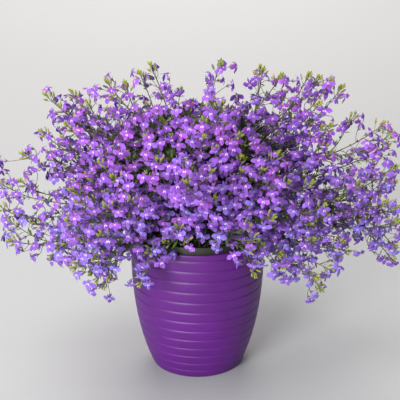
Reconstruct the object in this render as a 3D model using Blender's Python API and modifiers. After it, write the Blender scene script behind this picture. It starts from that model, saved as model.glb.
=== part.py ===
"""A potted trailing lobelia, in metres, with Z up and the origin at the middle of the pot's base.

A ribbed cover pot holds a nursery pot full of soil. A leafy crown stands in the soil, and the flowering
sprays stand in plain holes in the soil and in the crown. The viewer of the photograph is on the -Y side.
"""

import math
import random

import bmesh
import bpy
import numpy as np
from mathutils import Matrix, Vector

MM = 0.001

# Cover pot: a tapered wall of lapped bands under a plain lip
POT_HEIGHT = 146 * MM
RIM_RADIUS = 70 * MM
BASE_RADIUS = 48 * MM
WALL_BULGE = 2.8  # how fast the wall closes in towards the base
WALL = 3.2 * MM
POT_FLOOR = 3 * MM
LIP_HEIGHT = 6.5 * MM
BANDS = 13
BAND_SHRINK = 0.2  # the lowest band is this share shorter than the highest
GROOVE_DEPTH = 1.1 * MM
GROOVE_HEIGHT = 1.6 * MM
POT_SIDES = 24

# Nursery pot: thin, smooth, its rolled rim a little above the cover pot's
GAP = 0.3 * MM  # between solids that rest on each other
NURSERY_TOP = 152.5 * MM
NURSERY_RIM_RADIUS = 65 * MM
NURSERY_RIM_HEIGHT = 9 * MM
NURSERY_NECK_RADIUS = 62.5 * MM
NURSERY_BASE_RADIUS = 39 * MM
NURSERY_WALL = 1.4 * MM
NURSERY_SIDES = 16
DRAIN_RADIUS = 4 * MM
DRAIN_RING = 22 * MM
DRAINS = 4

# Soil
SOIL_TOP = 142 * MM
SOIL_CROWNING = 2 * MM
SOIL_SIDES = 16

# Leafy crown: radius and height above the soil along its core, from the buried neck to the top
CROWN_OUTLINE = [
    (20, -9), (22, 4), (32, 18), (54, 35), (76, 53), (84, 73), (77, 94), (56, 112), (27, 122),
]
CROWN_SIDES = 20
CROWN_DENTS = 9 * MM  # how far every other point of the core's surface lies in
CROWN_HOLE_RADIUS = 25 * MM  # in the soil, round the crown's neck
CROWN_HEART = 52 * MM  # height above the soil that the crown's growth spreads from
CROWN_FLOWERS = 82
CROWN_FLOWER_WIDTH = 26 * MM  # larger than life, as few of them have to cover the core
CROWN_LEAVES = 12
CROWN_STALK = (9 * MM, 26 * MM)
HOLE_SIDES = 5
CROWN_SUNK = 14 * MM  # depth to which a stalk or a leaf is rooted in the core
SUNK = 4 * MM  # the first length of a stalk, which may touch its own stem

# Sprays
SEED = 12
SPRAYS = 28
STEM_RADIUS = 1.15 * MM
STEM_TIP_RADIUS = 0.8 * MM
STEM_POINTS = {"crown": 4, "soil": 6}  # above the mouth of its hole
STEM_SUNK = 14 * MM
STEP_ROOM = 0.5 * MM  # free space kept between the pieces of two sprays
LAP = 1.2 * MM  # how far two flowers of one spray may run into each other
CROWN_ROOTED_ABOVE = 17  # degrees of a tip's elevation above which its spray grows from the crown
ROOT_RING = (35 * MM, 46 * MM)
RIM_CLEARANCE = 3 * MM
FLOWERS = {"crown": 5, "soil": 6}
FLOWER_WIDTH = 22 * MM
TUBE_LENGTH = 7 * MM
THROAT = 1.8 * MM  # how far the middle of the face is sunk
PEDICEL = (12 * MM, 24 * MM)
PEDICEL_RADIUS = 0.62 * MM
LEAVES = {"crown": 0, "soil": 1}
LEAF_LENGTH = 15 * MM
LEAF_WIDTH = 5.5 * MM
LEAF_THICKNESS = 1.3 * MM
BUDS = 2
BUD_LENGTH = 8 * MM
BUD_WIDTH = 3 * MM
GOLDEN_ANGLE = math.radians(137.5)

# Tips of the sprays that give the photograph its outline: x, y, z in millimetres
OUTLINE_TIPS = [
    (-48, 20, 318), (24, 10, 320), (84, 0, 312), (124, 15, 306), (196, -10, 255), (194, 20, 200),
    (206, -15, 162), (118, -85, 122), (-90, -10, 308), (-140, 15, 276), (-176, -20, 236), (-204, 5, 196),
    (-190, -40, 150), (-105, -75, 112), (-48, -95, 126),
]

# A flower's face seen from the front, anticlockwise from the notch between its two upper lobes, at half
# the flower's width: two narrow upper lobes, two side lobes and the middle lobe of the lower lip
FACE = [
    (0.00, 0.22), (-0.40, 0.92), (-0.34, 0.24), (-0.90, 0.24), (-1.00, -0.42), (-0.32, -0.36),
    (-0.37, -1.00), (0.37, -1.00), (0.32, -0.36), (1.00, -0.42), (0.90, 0.24), (0.34, 0.24), (0.40, 0.92),
]

# The same lobes as rods for the test of clearance: where each ends, and its radius
LOBES = [(-0.68, -0.1, 0.34), (0.68, -0.1, 0.34), (0, -0.66, 0.36), (-0.37, 0.78, 0.12), (0.37, 0.78, 0.12)]

COLOURS = {
    "cover_pot": ((0.17, 0.035, 0.30), 0.42),
    "nursery_pot": ((0.030, 0.032, 0.030), 0.55),
    "soil": ((0.045, 0.028, 0.018), 0.95),
    "foliage": ((0.075, 0.16, 0.030), 0.6),
    "bloom": ((0.24, 0.085, 0.66), 0.55),
}


def material(name):
    """The material of this name, made the first time that it is asked for."""
    found = bpy.data.materials.get(name)
    if found:
        return found
    colour, roughness = COLOURS[name]
    made = bpy.data.materials.new(name)
    made.use_nodes = True
    shader = made.node_tree.nodes["Principled BSDF"]
    shader.inputs["Base Color"].default_value = (*colour, 1)
    shader.inputs["Roughness"].default_value = roughness
    return made


def add_object(name, mesh, slot, collection):
    piece = bpy.data.objects.new(name, mesh)
    collection.objects.link(piece)
    mesh.materials.clear()
    mesh.materials.append(material(slot))
    return piece


def applied(piece):
    """Gives piece the mesh that its modifiers make, and drops them."""
    graph = bpy.context.evaluated_depsgraph_get()
    mesh = bpy.data.meshes.new_from_object(piece.evaluated_get(graph))
    piece.modifiers.clear()
    piece.data = mesh
    return piece


def combine(piece, others, operation):
    """One Boolean of piece with the other objects, which are then removed."""
    operands = bpy.data.collections.new("operands")
    bpy.context.scene.collection.children.link(operands)
    for other in others:
        for holder in list(other.users_collection):
            holder.objects.unlink(other)
        operands.objects.link(other)
    boolean = piece.modifiers.new("combine", "BOOLEAN")
    boolean.operation = operation
    boolean.operand_type = "COLLECTION"
    boolean.collection = operands
    boolean.solver = "MANIFOLD"
    bpy.context.view_layer.update()
    applied(piece)
    for other in others:
        bpy.data.objects.remove(other)
    bpy.data.collections.remove(operands)
    return piece


def turned(name, outline, sides, slot, collection):
    """A solid of revolution from its outline, which runs up the inside, then down the outside."""
    mesh = bpy.data.meshes.new(name)
    points = [(radius, 0, height) for radius, height in outline]
    mesh.from_pydata(points, [(i, i + 1) for i in range(len(points) - 1)], [])
    piece = add_object(name, mesh, slot, collection)
    screw = piece.modifiers.new("turn", "SCREW")
    screw.steps = screw.render_steps = sides
    screw.use_merge_vertices = True
    screw.merge_threshold = 0.00001
    screw.use_smooth_shade = False
    return piece


def rod(name, start, end, radius, sides, collection):
    """A straight cylinder between two points, as a cutter or a drill."""
    shape = bmesh.new()
    along = end - start
    bmesh.ops.create_cone(
        shape, cap_ends=True, segments=sides, radius1=radius, radius2=radius, depth=along.length
    )
    turn = along.to_track_quat("Z", "Y").to_matrix().to_4x4()
    bmesh.ops.transform(shape, matrix=Matrix.Translation((start + end) / 2) @ turn, verts=shape.verts)
    mesh = bpy.data.meshes.new(name)
    shape.to_mesh(mesh)
    shape.free()
    return add_object(name, mesh, "soil", collection)


def cover_radius(height):
    """Outer radius of the cover pot's wall, on its bands."""
    closed_in = (1 - height / POT_HEIGHT) ** WALL_BULGE
    return RIM_RADIUS - (RIM_RADIUS - BASE_RADIUS) * closed_in


def band_tops():
    """Heights of the grooves, from the lip down to the base."""
    shares = [1 - BAND_SHRINK * (i / (BANDS - 1)) ** 2 for i in range(BANDS)]
    unit = (POT_HEIGHT - LIP_HEIGHT) / sum(shares)
    heights = [POT_HEIGHT - LIP_HEIGHT]
    for share in shares:
        heights.append(heights[-1] - unit * share)
    return heights


def make_cover_pot(collection):
    inside = [(0, POT_FLOOR), (BASE_RADIUS - WALL, POT_FLOOR)]
    for height in (8 * MM, 25 * MM, 60 * MM, 100 * MM):
        inside.append((cover_radius(height) - WALL, height))
    outside = [(RIM_RADIUS - WALL, POT_HEIGHT), (RIM_RADIUS, POT_HEIGHT)]
    grooves = band_tops()
    outside.append((cover_radius(grooves[0] + GROOVE_HEIGHT), grooves[0] + GROOVE_HEIGHT))
    for height in grooves[:-1]:
        outside.append((cover_radius(height) - GROOVE_DEPTH, height))
        outside.append((cover_radius(height - GROOVE_HEIGHT), height - GROOVE_HEIGHT))
    outside += [(BASE_RADIUS, 0), (0, 0)]
    return turned("cover_pot", inside + outside, POT_SIDES, "cover_pot", collection)


def nursery_radius(height):
    """Outer radius of the nursery pot's wall below its rim."""
    bottom = POT_FLOOR + GAP
    share = (height - bottom) / (NURSERY_TOP - NURSERY_RIM_HEIGHT - bottom)
    return NURSERY_BASE_RADIUS + share * (NURSERY_NECK_RADIUS - NURSERY_BASE_RADIUS)


def make_nursery_pot(collection):
    bottom = POT_FLOOR + GAP
    neck = NURSERY_TOP - NURSERY_RIM_HEIGHT
    floor = bottom + NURSERY_WALL
    outline = [
        (0, floor),
        (nursery_radius(floor) - NURSERY_WALL, floor),
        (NURSERY_RIM_RADIUS - 2 * NURSERY_WALL, NURSERY_TOP),
        (NURSERY_RIM_RADIUS, NURSERY_TOP),
        (NURSERY_RIM_RADIUS, neck),
        (NURSERY_NECK_RADIUS, neck),
        (NURSERY_BASE_RADIUS, bottom),
        (0, bottom),
    ]
    pot = applied(turned("nursery_pot", outline, NURSERY_SIDES, "nursery_pot", collection))
    drills = []
    for i in range(DRAINS):
        turn = math.tau * i / DRAINS
        centre = Vector((math.cos(turn) * DRAIN_RING, math.sin(turn) * DRAIN_RING, floor))
        lift = Vector((0, 0, 3 * MM))
        drills.append(rod("drill", centre - lift, centre + lift, DRAIN_RADIUS, 8, collection))
    return combine(pot, drills, "DIFFERENCE")


def soil_radius(height):
    """Radius of the soil where it fills the nursery pot."""
    floor = POT_FLOOR + GAP + NURSERY_WALL
    low = nursery_radius(floor) - NURSERY_WALL
    high = NURSERY_RIM_RADIUS - 2 * NURSERY_WALL
    share = (height - floor) / (NURSERY_TOP - floor)
    return low + share * (high - low) - 1.5 * GAP


def make_soil(sprays, collection):
    bottom = POT_FLOOR + 2 * GAP + NURSERY_WALL
    outline = [
        (0, SOIL_TOP + SOIL_CROWNING),
        (soil_radius(SOIL_TOP), SOIL_TOP),
        (soil_radius(bottom), bottom),
        (0, bottom),
    ]
    soil = applied(turned("soil", outline, SOIL_SIDES, "soil", collection))
    neck = Vector((0, 0, SOIL_TOP + CROWN_OUTLINE[0][1] * MM - 2 * GAP))
    open_end = Vector((0, 0, SOIL_TOP + 10 * MM))
    holes = [rod("hole", neck, open_end, CROWN_HOLE_RADIUS, CROWN_SIDES, collection)]
    holes += [stem_hole(s, collection) for s in sprays if s["rooted_in"] == "soil"]
    return combine(soil, holes, "DIFFERENCE")


def stem_hole(spray, collection):
    """A plain straight hole round the sunk end of a spray's stem."""
    start, mouth = spray["stem"][0], spray["stem"][1]
    along = (mouth - start).normalized()
    radius = STEM_RADIUS + 2.5 * GAP
    return rod("hole", start - along * 2 * GAP, mouth + along * 6 * MM, radius, HOLE_SIDES, collection)


class Space:
    """Straight rods with a radius and an owner: what each new piece has to stay clear of."""

    def __init__(self):
        self.starts, self.ends, self.radii, self.owners = [], [], [], []

    def add(self, start, end, radius, owner):
        self.starts.append(tuple(start))
        self.ends.append(tuple(end))
        self.radii.append(radius)
        self.owners.append(owner)

    def room(self, start, end, radius, owner, own_room=None):
        """The free distance between a new rod and the others. Rods of its owner count only with own_room,
        which is taken off their distance."""
        owners = np.array(self.owners)
        p, q = np.array(self.starts), np.array(self.ends)
        reach = np.array(self.radii) + radius
        if own_room is None:
            keep = owners != owner
            p, q, reach = p[keep], q[keep], reach[keep]
        else:
            reach = np.where(owners == owner, reach - own_room, reach)
        if len(p) == 0:
            return 1.0
        return float((rod_distances(np.array(start), np.array(end), p, q) - reach).min())


def rod_distances(a, b, p, q):
    """Shortest distances between the segment a-b and each of the segments p-q."""
    along, others, between = b - a, q - p, a - p
    aa = max(float(along @ along), 1e-12)
    oo = np.maximum((others * others).sum(1), 1e-12)
    ao = others @ along
    ab = between @ along
    ob = (others * between).sum(1)
    slope = aa * oo - ao * ao
    s = np.where(slope > 1e-16, np.clip((ao * ob - ab * oo) / np.maximum(slope, 1e-16), 0, 1), 0)
    t = np.clip((ao * s + ob) / oo, 0, 1)
    s = np.clip((ao * t - ab) / aa, 0, 1)
    nearest = between + s[:, None] * along - t[:, None] * others
    return np.sqrt((nearest * nearest).sum(1))


def direction(azimuth, elevation):
    """Degrees to a direction. Azimuth 0 points at the viewer and 90 to the right."""
    a, e = math.radians(azimuth), math.radians(elevation)
    return Vector((math.sin(a) * math.cos(e), -math.cos(a) * math.cos(e), math.sin(e)))


def perpendicular(axis, turn):
    """A direction at right angles to axis, turned round it."""
    side = axis.cross(Vector((0, 0, 1)))
    if side.length < 0.05:
        side = axis.cross(Vector((1, 0, 0)))
    side.normalize()
    return (side * math.cos(turn) + axis.cross(side) * math.sin(turn)).normalized()


def across(axis):
    """The directions to the right and up in the plane that faces along axis."""
    right = perpendicular(axis, 0) * -1
    return right, axis.cross(right)


def crown_room(point):
    """Distance from the crown's core, negative inside it."""
    spot = np.array([math.hypot(point.x, point.y), point.z - SOIL_TOP]) / MM
    outline = np.array([(0, CROWN_OUTLINE[0][1]), *CROWN_OUTLINE, (0, CROWN_OUTLINE[-1][1] + 1)])
    a, along = outline[:-1], np.diff(outline, axis=0)
    share = np.clip(((spot - a) * along).sum(1) / (along * along).sum(1), 0, 1)
    nearest = np.linalg.norm(spot - a - share[:, None] * along, axis=1).min()
    radii, heights = outline[1:-1, 0], outline[1:-1, 1]
    inside = heights[0] < spot[1] < heights[-1] and spot[0] < np.interp(spot[1], heights, radii)
    return (-nearest if inside else nearest) * MM


def pots_room(point):
    """Roughly the distance from the pots and the soil, with the space inside the rims counted as theirs."""
    radius = math.hypot(point.x, point.y)
    if point.z > POT_HEIGHT:
        return max(point.z - NURSERY_TOP, radius - RIM_RADIUS)
    return max(point.z - NURSERY_TOP, radius - cover_radius(max(point.z, 0)))


def clear_of_solids(start, end, radius):
    """True if a rod keeps off the crown's core and the pots."""
    steps = max(1, round((end - start).length / (4 * MM)))
    points = [start.lerp(end, i / steps) for i in range(steps + 1)]
    return all(min(crown_room(p), pots_room(p)) > radius + STEP_ROOM for p in points)


def stem_clears_rims(point):
    """True where a stem is still over the soil, or passes over both rims, or is outside them."""
    radius = math.hypot(point.x, point.y)
    if radius < NURSERY_RIM_RADIUS - 8 * MM:
        return point.z > SOIL_TOP - MM and crown_room(point) > STEM_RADIUS + STEP_ROOM
    return pots_room(point) > RIM_CLEARANCE and crown_room(point) > STEM_RADIUS + STEP_ROOM


def lowest_elevation(azimuth):
    """How low a spray's tip may hang: over the rim's front the sprays stay up, elsewhere they trail."""
    from_front = abs((azimuth + 180) % 360 - 180)
    return -12 + 38 * min(1.0, max(0.0, 1.45 - from_front / 34))


def choose_tips(draw):
    """The outline's tips, then more in the widest gaps between them, all round the plant."""
    heart = Vector((0, 0, SOIL_TOP))
    tips = [Vector(tip) * MM for tip in OUTLINE_TIPS]
    while len(tips) < SPRAYS:
        best, widest = None, -1.0
        for _ in range(80):
            azimuth = draw.uniform(0, 360)
            elevation = math.degrees(math.asin(draw.uniform(-0.2, 0.97)))
            if elevation < lowest_elevation(azimuth):
                continue
            way = direction(azimuth, elevation)
            gap = min((way - (tip - heart).normalized()).length for tip in tips)
            if gap > widest:
                best, widest = way, gap
        tips.append(heart + best * draw.uniform(148, 188) * MM)
    return tips


def bent(points, share):
    """A point of the cubic curve through these four control points."""
    a, b, c, d = points
    rest = 1 - share
    return a * rest**3 + b * 3 * rest**2 * share + c * 3 * rest * share**2 + d * share**3


def stem_line(tip, sway):
    """Where a stem is rooted, and its centreline: a straight sunk end, then a bend out and up."""
    heart = Vector((0, 0, SOIL_TOP))
    way = (tip - heart).normalized()
    flat = Vector((way.x, way.y, 0)).normalized()
    if math.degrees(math.asin(way.z)) > CROWN_ROOTED_ABOVE:
        rooted_in = "crown"
        mouth = heart + Vector((0, 0, CROWN_HEART))
        rise = (tip - mouth + sway * 3).normalized()
        while crown_room(mouth) < 0.2 * MM:
            mouth = mouth + rise * 0.5 * MM
    else:
        rooted_in = "soil"
        rise = (flat + Vector((0, 0, 1.5)) + sway * 30).normalized()
        near, far = ROOT_RING
        ring = near + (far - near) * (0.5 + 0.5 * math.sin(9 * way.x))
        mouth = heart + flat * ring + flat.cross(Vector((0, 0, 1))) * sway.x + Vector((0, 0, SOIL_CROWNING))
    last = (flat + Vector((0, 0, 0.4 + (1.4 if way.z > 0 else 5) * way.z))).normalized()
    length = (tip - mouth).length
    pull = 0.3 if way.z > 0 else 0.42
    controls = [mouth, mouth + rise * length * pull, tip - last * length * 0.35 + sway, tip]
    count = STEM_POINTS[rooted_in]
    return rooted_in, [mouth - rise * STEM_SUNK, *(bent(controls, i / count) for i in range(count + 1))]


def along_stem(line, share):
    """Point and direction at this share of a stem's length above its mouth."""
    bend = line[1:]
    lengths = [(b - a).length for a, b in zip(bend, bend[1:])]
    left = share * sum(lengths)
    for a, b, length in zip(bend, bend[1:], lengths):
        if left <= length:
            return a.lerp(b, left / length), (b - a).normalized()
        left -= length
    return bend[-1].copy(), (bend[-1] - bend[-2]).normalized()


def stem_stands_clear(line, space, name):
    """True if a stem keeps off the rims, the crown's core and every other stem."""
    if math.hypot(line[1].x, line[1].y) > ROOT_RING[1] + 3 * MM and line[1].z < NURSERY_TOP:
        return False
    steps = [i / 40 for i in range(1, 41)]
    if not all(stem_clears_rims(along_stem(line, share)[0]) for share in steps):
        return False
    return min(space.room(a, b, STEM_RADIUS, name) for a, b in zip(line, line[1:])) > 2 * STEP_ROOM


def lay_stems(space, draw):
    """The stems, each swayed until it stands clear."""
    sprays = []
    for tip in choose_tips(draw):
        name = f"spray_{len(sprays) + 1:02d}"
        for attempt in range(60):
            sway = Vector([draw.uniform(-0.5, 0.5) * attempt * MM for _ in range(3)])
            lifted = tip + Vector((0, 0, 0.6 * attempt * MM))
            rooted_in, line = stem_line(lifted, sway)
            if stem_stands_clear(line, space, name):
                break
        else:
            print("no room for a stem to", tuple(round(c / MM) for c in tip))
            continue
        for a, b in zip(line, line[1:]):
            space.add(a, b, STEM_RADIUS, name)
        end, along = along_stem(line, 1)
        space.add(end, end + along * BUD_LENGTH * 0.6, BUD_LENGTH * 0.7, name)
        sprays.append({"name": name, "rooted_in": rooted_in, "stem": line, "leaves": [], "flowers": []})
    return sprays


def flower_rods(base, knee, facing, width):
    """The rods of a flower: its stalk past the root, its bell and its lobes."""
    face = knee + facing * TUBE_LENGTH
    right, up = across(facing)
    half = width / 2
    way = (knee - base).normalized()
    rods = [(base + way * SUNK, knee, PEDICEL_RADIUS), (knee, face, 0.2 * half)]
    for x, y, radius in LOBES:
        rods.append((face, face + (right * x + up * y) * half, radius * half))
    return rods


def try_rods(space, rods, owner, own_room):
    """Books the rods for their owner and returns True, if all of them are clear."""
    for start, end, radius in rods:
        if not clear_of_solids(start, end, radius):
            return False
        if space.room(start, end, radius, owner, own_room) < STEP_ROOM:
            return False
    for rod_ in rods:
        space.add(*rod_, owner)
    return True


def facing_of(way, knee):
    """Which way a flower looks: out from the plant, along its stalk and a little up."""
    out = Vector((knee.x, knee.y, 0)).normalized()
    return (out * 0.75 + way * 0.55 + Vector((0, 0, 0.2))).normalized()


def crown_spot(index, count):
    """A point on the crown's core and the way out of it, spread by the golden angle."""
    low, high = CROWN_OUTLINE[1][1], CROWN_OUTLINE[-1][1]
    heights = [h for r, h in CROWN_OUTLINE]
    radii = [r for r, h in CROWN_OUTLINE]
    height = low + (high - low) * (0.12 + 0.88 * (index + 0.5) / count)
    turn = index * GOLDEN_ANGLE
    out = Vector((math.cos(turn), math.sin(turn), 0))
    spot = out * float(np.interp(height, heights, radii)) * MM + Vector((0, 0, SOIL_TOP + height * MM))
    return spot, (spot - Vector((0, 0, SOIL_TOP + CROWN_HEART))).normalized()


def lay_crown_flowers(space, draw):
    """Flowers all over the crown, on stalks of unlike lengths."""
    flowers = []
    for i in range(CROWN_FLOWERS):
        for attempt in range(16):
            spot, out = crown_spot(i + draw.uniform(-0.4, 0.4), CROWN_FLOWERS)
            lean = perpendicular(out, draw.uniform(0, math.tau)) * draw.uniform(0.1, 0.35 + 0.03 * attempt)
            way = (out + lean + Vector((0, 0, 0.15))).normalized()
            base, knee = spot - way * CROWN_SUNK, spot + way * draw.uniform(*CROWN_STALK)
            facing = facing_of(way, knee)
            rods = flower_rods(base, knee, facing, CROWN_FLOWER_WIDTH)
            rods[0] = (spot + way * 2 * MM, knee, PEDICEL_RADIUS)  # its root lies in the core
            if try_rods(space, rods, "crown", LAP):
                flowers.append((base, knee, facing))
                break
    return flowers


def lay_crown_leaves(space, draw):
    """Leaves between the crown's flowers."""
    leaves = []
    for i in range(CROWN_LEAVES):
        for _ in range(8):
            spot, out = crown_spot(i + draw.uniform(-0.5, 0.5), CROWN_LEAVES)
            way = (out + perpendicular(out, draw.uniform(0, math.tau)) * 0.7).normalized()
            tip = spot + way * LEAF_LENGTH
            rods = [(spot + way * 5 * MM, tip, LEAF_THICKNESS)]
            if try_rods(space, rods, "crown", None):
                leaves.append((spot - way * CROWN_SUNK, tip))
                break
    return leaves


def lay_leaves(sprays, space, draw):
    """A few leaves low on each stem."""
    for spray in sprays:
        wanted = LEAVES[spray["rooted_in"]]
        for _ in range(wanted * 10):
            base, along = along_stem(spray["stem"], draw.uniform(0.1, 0.45))
            way = (along * 0.55 + perpendicular(along, draw.uniform(0, math.tau))).normalized()
            tip = base + way * LEAF_LENGTH
            if try_rods(space, [(base + way * 6 * MM, tip, LEAF_WIDTH / 2)], spray["name"], None):
                spray["leaves"].append((base, tip))
                if len(spray["leaves"]) == wanted:
                    break


def lay_flowers(sprays, space, draw):
    """Flowers on their stalks, turned round the stem until each is clear of every other spray."""
    for k in range(max(FLOWERS.values())):
        for spray in sprays:
            wanted = FLOWERS[spray["rooted_in"]]
            if k >= wanted:
                continue
            low = 0.25 if spray["rooted_in"] == "crown" else 0.4
            share = 0.95 - (0.95 - low) * k / (wanted - 1)
            for attempt in range(40):
                base, along = along_stem(spray["stem"], share + draw.uniform(-0.05, 0.05))
                turn = k * GOLDEN_ANGLE + draw.uniform(-0.5, 0.5) + attempt * 0.9
                lean = math.radians(draw.uniform(38, 72))
                way = (along * math.cos(lean) + perpendicular(along, turn) * math.sin(lean)).normalized()
                knee = base + way * draw.uniform(*PEDICEL)
                facing = facing_of(way, knee)
                rods = flower_rods(base, knee, facing, FLOWER_WIDTH)
                if try_rods(space, rods, spray["name"], LAP):
                    spray["flowers"].append((base, knee, facing))
                    break


def lay_out():
    """The sprays, and the crown's flowers and leaves, by one seeded rule."""
    draw = random.Random(SEED)
    space = Space()
    sprays = lay_stems(space, draw)
    flowers = lay_crown_flowers(space, draw)
    lay_flowers(sprays, space, draw)
    lay_leaves(sprays, space, draw)
    leaves = lay_crown_leaves(space, draw)
    return sprays, flowers, leaves


def ring(shape, centre, axis, outline, size):
    """Vertices of a flat outline round centre, seen anticlockwise from where axis points."""
    right, up = across(axis)
    return [shape.verts.new(centre + (right * x + up * y) * size) for x, y in outline]


def bridge(shape, lower, upper):
    """Triangles between two rings, which may differ in their number of corners."""
    i = j = 0
    while i < len(lower) or j < len(upper):
        if (i + 1) / len(lower) < (j + 1) / len(upper):
            corners = (lower[i % len(lower)], lower[(i + 1) % len(lower)], upper[j % len(upper)])
            i += 1
        else:
            corners = (lower[i % len(lower)], upper[(j + 1) % len(upper)], upper[j % len(upper)])
            j += 1
        shape.faces.new(corners)


def triangle_outline(width, depth):
    """Three corners, starting at the top, for stalks and blades."""
    return [(0, depth), (-width * 0.866, -depth * 0.5), (width * 0.866, -depth * 0.5)]


def lofted(name, shape, rings, end, slot, collection):
    """A closed solid through its rings: capped at the first and closed onto one point at the last."""
    for lower, upper in zip(rings, rings[1:]):
        bridge(shape, lower, upper)
    shape.faces.new(list(reversed(rings[0])))
    top = shape.verts.new(end)
    last = rings[-1]
    for i, corner in enumerate(last):
        shape.faces.new((corner, last[(i + 1) % len(last)], top))
    mesh = bpy.data.meshes.new(name)
    shape.to_mesh(mesh)
    shape.free()
    return add_object(name, mesh, slot, collection)


def make_flower(base, knee, facing, width, collection):
    """A stalk and the corolla at its end: a tube that opens into the five-lobed face."""
    shape = bmesh.new()
    way = (knee - base).normalized()
    face = knee + facing * TUBE_LENGTH
    stalk = triangle_outline(PEDICEL_RADIUS, PEDICEL_RADIUS)
    rings = [
        ring(shape, base, way, stalk, 1.0),
        ring(shape, knee, (way + facing).normalized(), stalk, 1.6),
        ring(shape, face, facing, FACE, width / 2),
    ]
    return lofted("flower", shape, rings, face - facing * THROAT, "bloom", collection)


def make_blade(base, tip, width, thickness, slot, collection):
    """A leaf or a bud: a three-sided body, widest past its middle, with its root sunk in the stem."""
    shape = bmesh.new()
    along = tip - base
    axis = along.normalized()
    rings = [
        ring(shape, base, axis, triangle_outline(0.6 * MM, 0.6 * MM), 1.0),
        ring(shape, base + along * 0.58, axis, triangle_outline(width * 0.577, thickness * 0.667), 1.0),
    ]
    return lofted("blade", shape, rings, tip, slot, collection)


def make_stem(spray, collection):
    """The stem as a tapered tube along its centreline."""
    line = spray["stem"]
    curve = bpy.data.curves.new("stem", "CURVE")
    curve.dimensions = "3D"
    curve.bevel_depth = STEM_RADIUS
    curve.bevel_resolution = 0
    curve.use_fill_caps = True
    spline = curve.splines.new("POLY")
    spline.points.add(len(line) - 1)
    for i, point in enumerate(line):
        share = i / (len(line) - 1)
        spline.points[i].co = (*point, 1)
        spline.points[i].radius = 1 - share * (1 - STEM_TIP_RADIUS / STEM_RADIUS)
    tube = bpy.data.objects.new("tube", curve)
    collection.objects.link(tube)
    bpy.context.view_layer.update()
    mesh = bpy.data.meshes.new_from_object(tube.evaluated_get(bpy.context.evaluated_depsgraph_get()))
    bpy.data.objects.remove(tube)
    shape = bmesh.new()
    shape.from_mesh(mesh)
    bmesh.ops.remove_doubles(shape, verts=shape.verts, dist=0.00001)
    shape.to_mesh(mesh)
    shape.free()
    return add_object(spray["name"], mesh, "bloom", collection)


def make_buds(spray, collection):
    """The green buds that crowd the stem's tip."""
    tip, along = along_stem(spray["stem"], 1)
    root = tip - along * 1.5 * MM
    buds = []
    for i in range(BUDS):
        spread = 0.15 if i == 0 else 0.75
        way = (along + perpendicular(along, i * GOLDEN_ANGLE) * spread).normalized()
        buds.append(make_blade(root, root + way * BUD_LENGTH, BUD_WIDTH, BUD_WIDTH, "bloom", collection))
    return buds


def make_spray(spray, collection):
    stem = make_stem(spray, collection)
    repeats = make_buds(spray, collection)
    for base, tip in spray["leaves"]:
        repeats.append(make_blade(base, tip, LEAF_WIDTH, LEAF_THICKNESS, "bloom", collection))
    for base, knee, facing in spray["flowers"]:
        repeats.append(make_flower(base, knee, facing, FLOWER_WIDTH, collection))
    return combine(stem, repeats, "UNION")


def dent(mesh):
    """Draws every other point of the core's bulge inwards, as the hollows between tufts of leaves."""
    heart = Vector((0, 0, SOIL_TOP + CROWN_HEART))
    rows = np.array([SOIL_TOP + h * MM for r, h in CROWN_OUTLINE])
    for vertex in mesh.vertices:
        point = vertex.co
        row = int(np.abs(rows - point.z).argmin())
        column = round(math.atan2(point.y, point.x) * CROWN_SIDES / math.tau)
        if row > 2 and (row + column) % 2:
            vertex.co = point - (point - heart).normalized() * CROWN_DENTS


def make_crown(sprays, flowers, leaves, collection):
    """The dense middle: a core of packed growth with its flowers and leaves, bored for the sprays."""
    outline = [(0, SOIL_TOP + (CROWN_OUTLINE[-1][1] + 1) * MM)]
    outline += [(r * MM, SOIL_TOP + h * MM) for r, h in reversed(CROWN_OUTLINE)]
    outline.append((0, SOIL_TOP + CROWN_OUTLINE[0][1] * MM))
    crown = applied(turned("crown", outline, CROWN_SIDES, "foliage", collection))
    dent(crown.data)
    holes = [stem_hole(s, collection) for s in sprays if s["rooted_in"] == "crown"]
    combine(crown, holes, "DIFFERENCE")
    repeats = [make_blade(a, b, LEAF_WIDTH, LEAF_THICKNESS, "foliage", collection) for a, b in leaves]
    repeats += [make_flower(*flower, CROWN_FLOWER_WIDTH, collection) for flower in flowers]
    return combine(crown, repeats, "UNION")


def main():
    for old in list(bpy.data.objects):
        bpy.data.objects.remove(old)
    plant = bpy.data.collections.new("potted_trailing_lobelia")
    bpy.context.scene.collection.children.link(plant)
    sprays, flowers, leaves = lay_out()
    make_cover_pot(plant)
    make_nursery_pot(plant)
    make_soil(sprays, plant)
    make_crown(sprays, flowers, leaves, plant)
    for spray in sprays:
        make_spray(spray, plant)
    on_sprays = sum(len(spray["flowers"]) for spray in sprays)
    print(len(sprays), "sprays with", on_sprays, "flowers;", len(flowers), "flowers on the crown")


main()
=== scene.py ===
# %% [markdown]
# # A potted trailing lobelia
#
# The real object is a trailing lobelia in full flower, in a ribbed violet cover pot on studio paper. The packed
# CAD frame fixes its size and the place of each part. This notebook dresses that frame. Each solid is replaced
# by a finer piece in the same place, the flowers come back to their true size and number, and every surface gets
# the finish of the real one. Everything is in metres, so a number in millimetres is multiplied by MM.

import math
import random

import bmesh
import bpy
import numpy as np
from mathutils import Matrix, Vector


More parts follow.
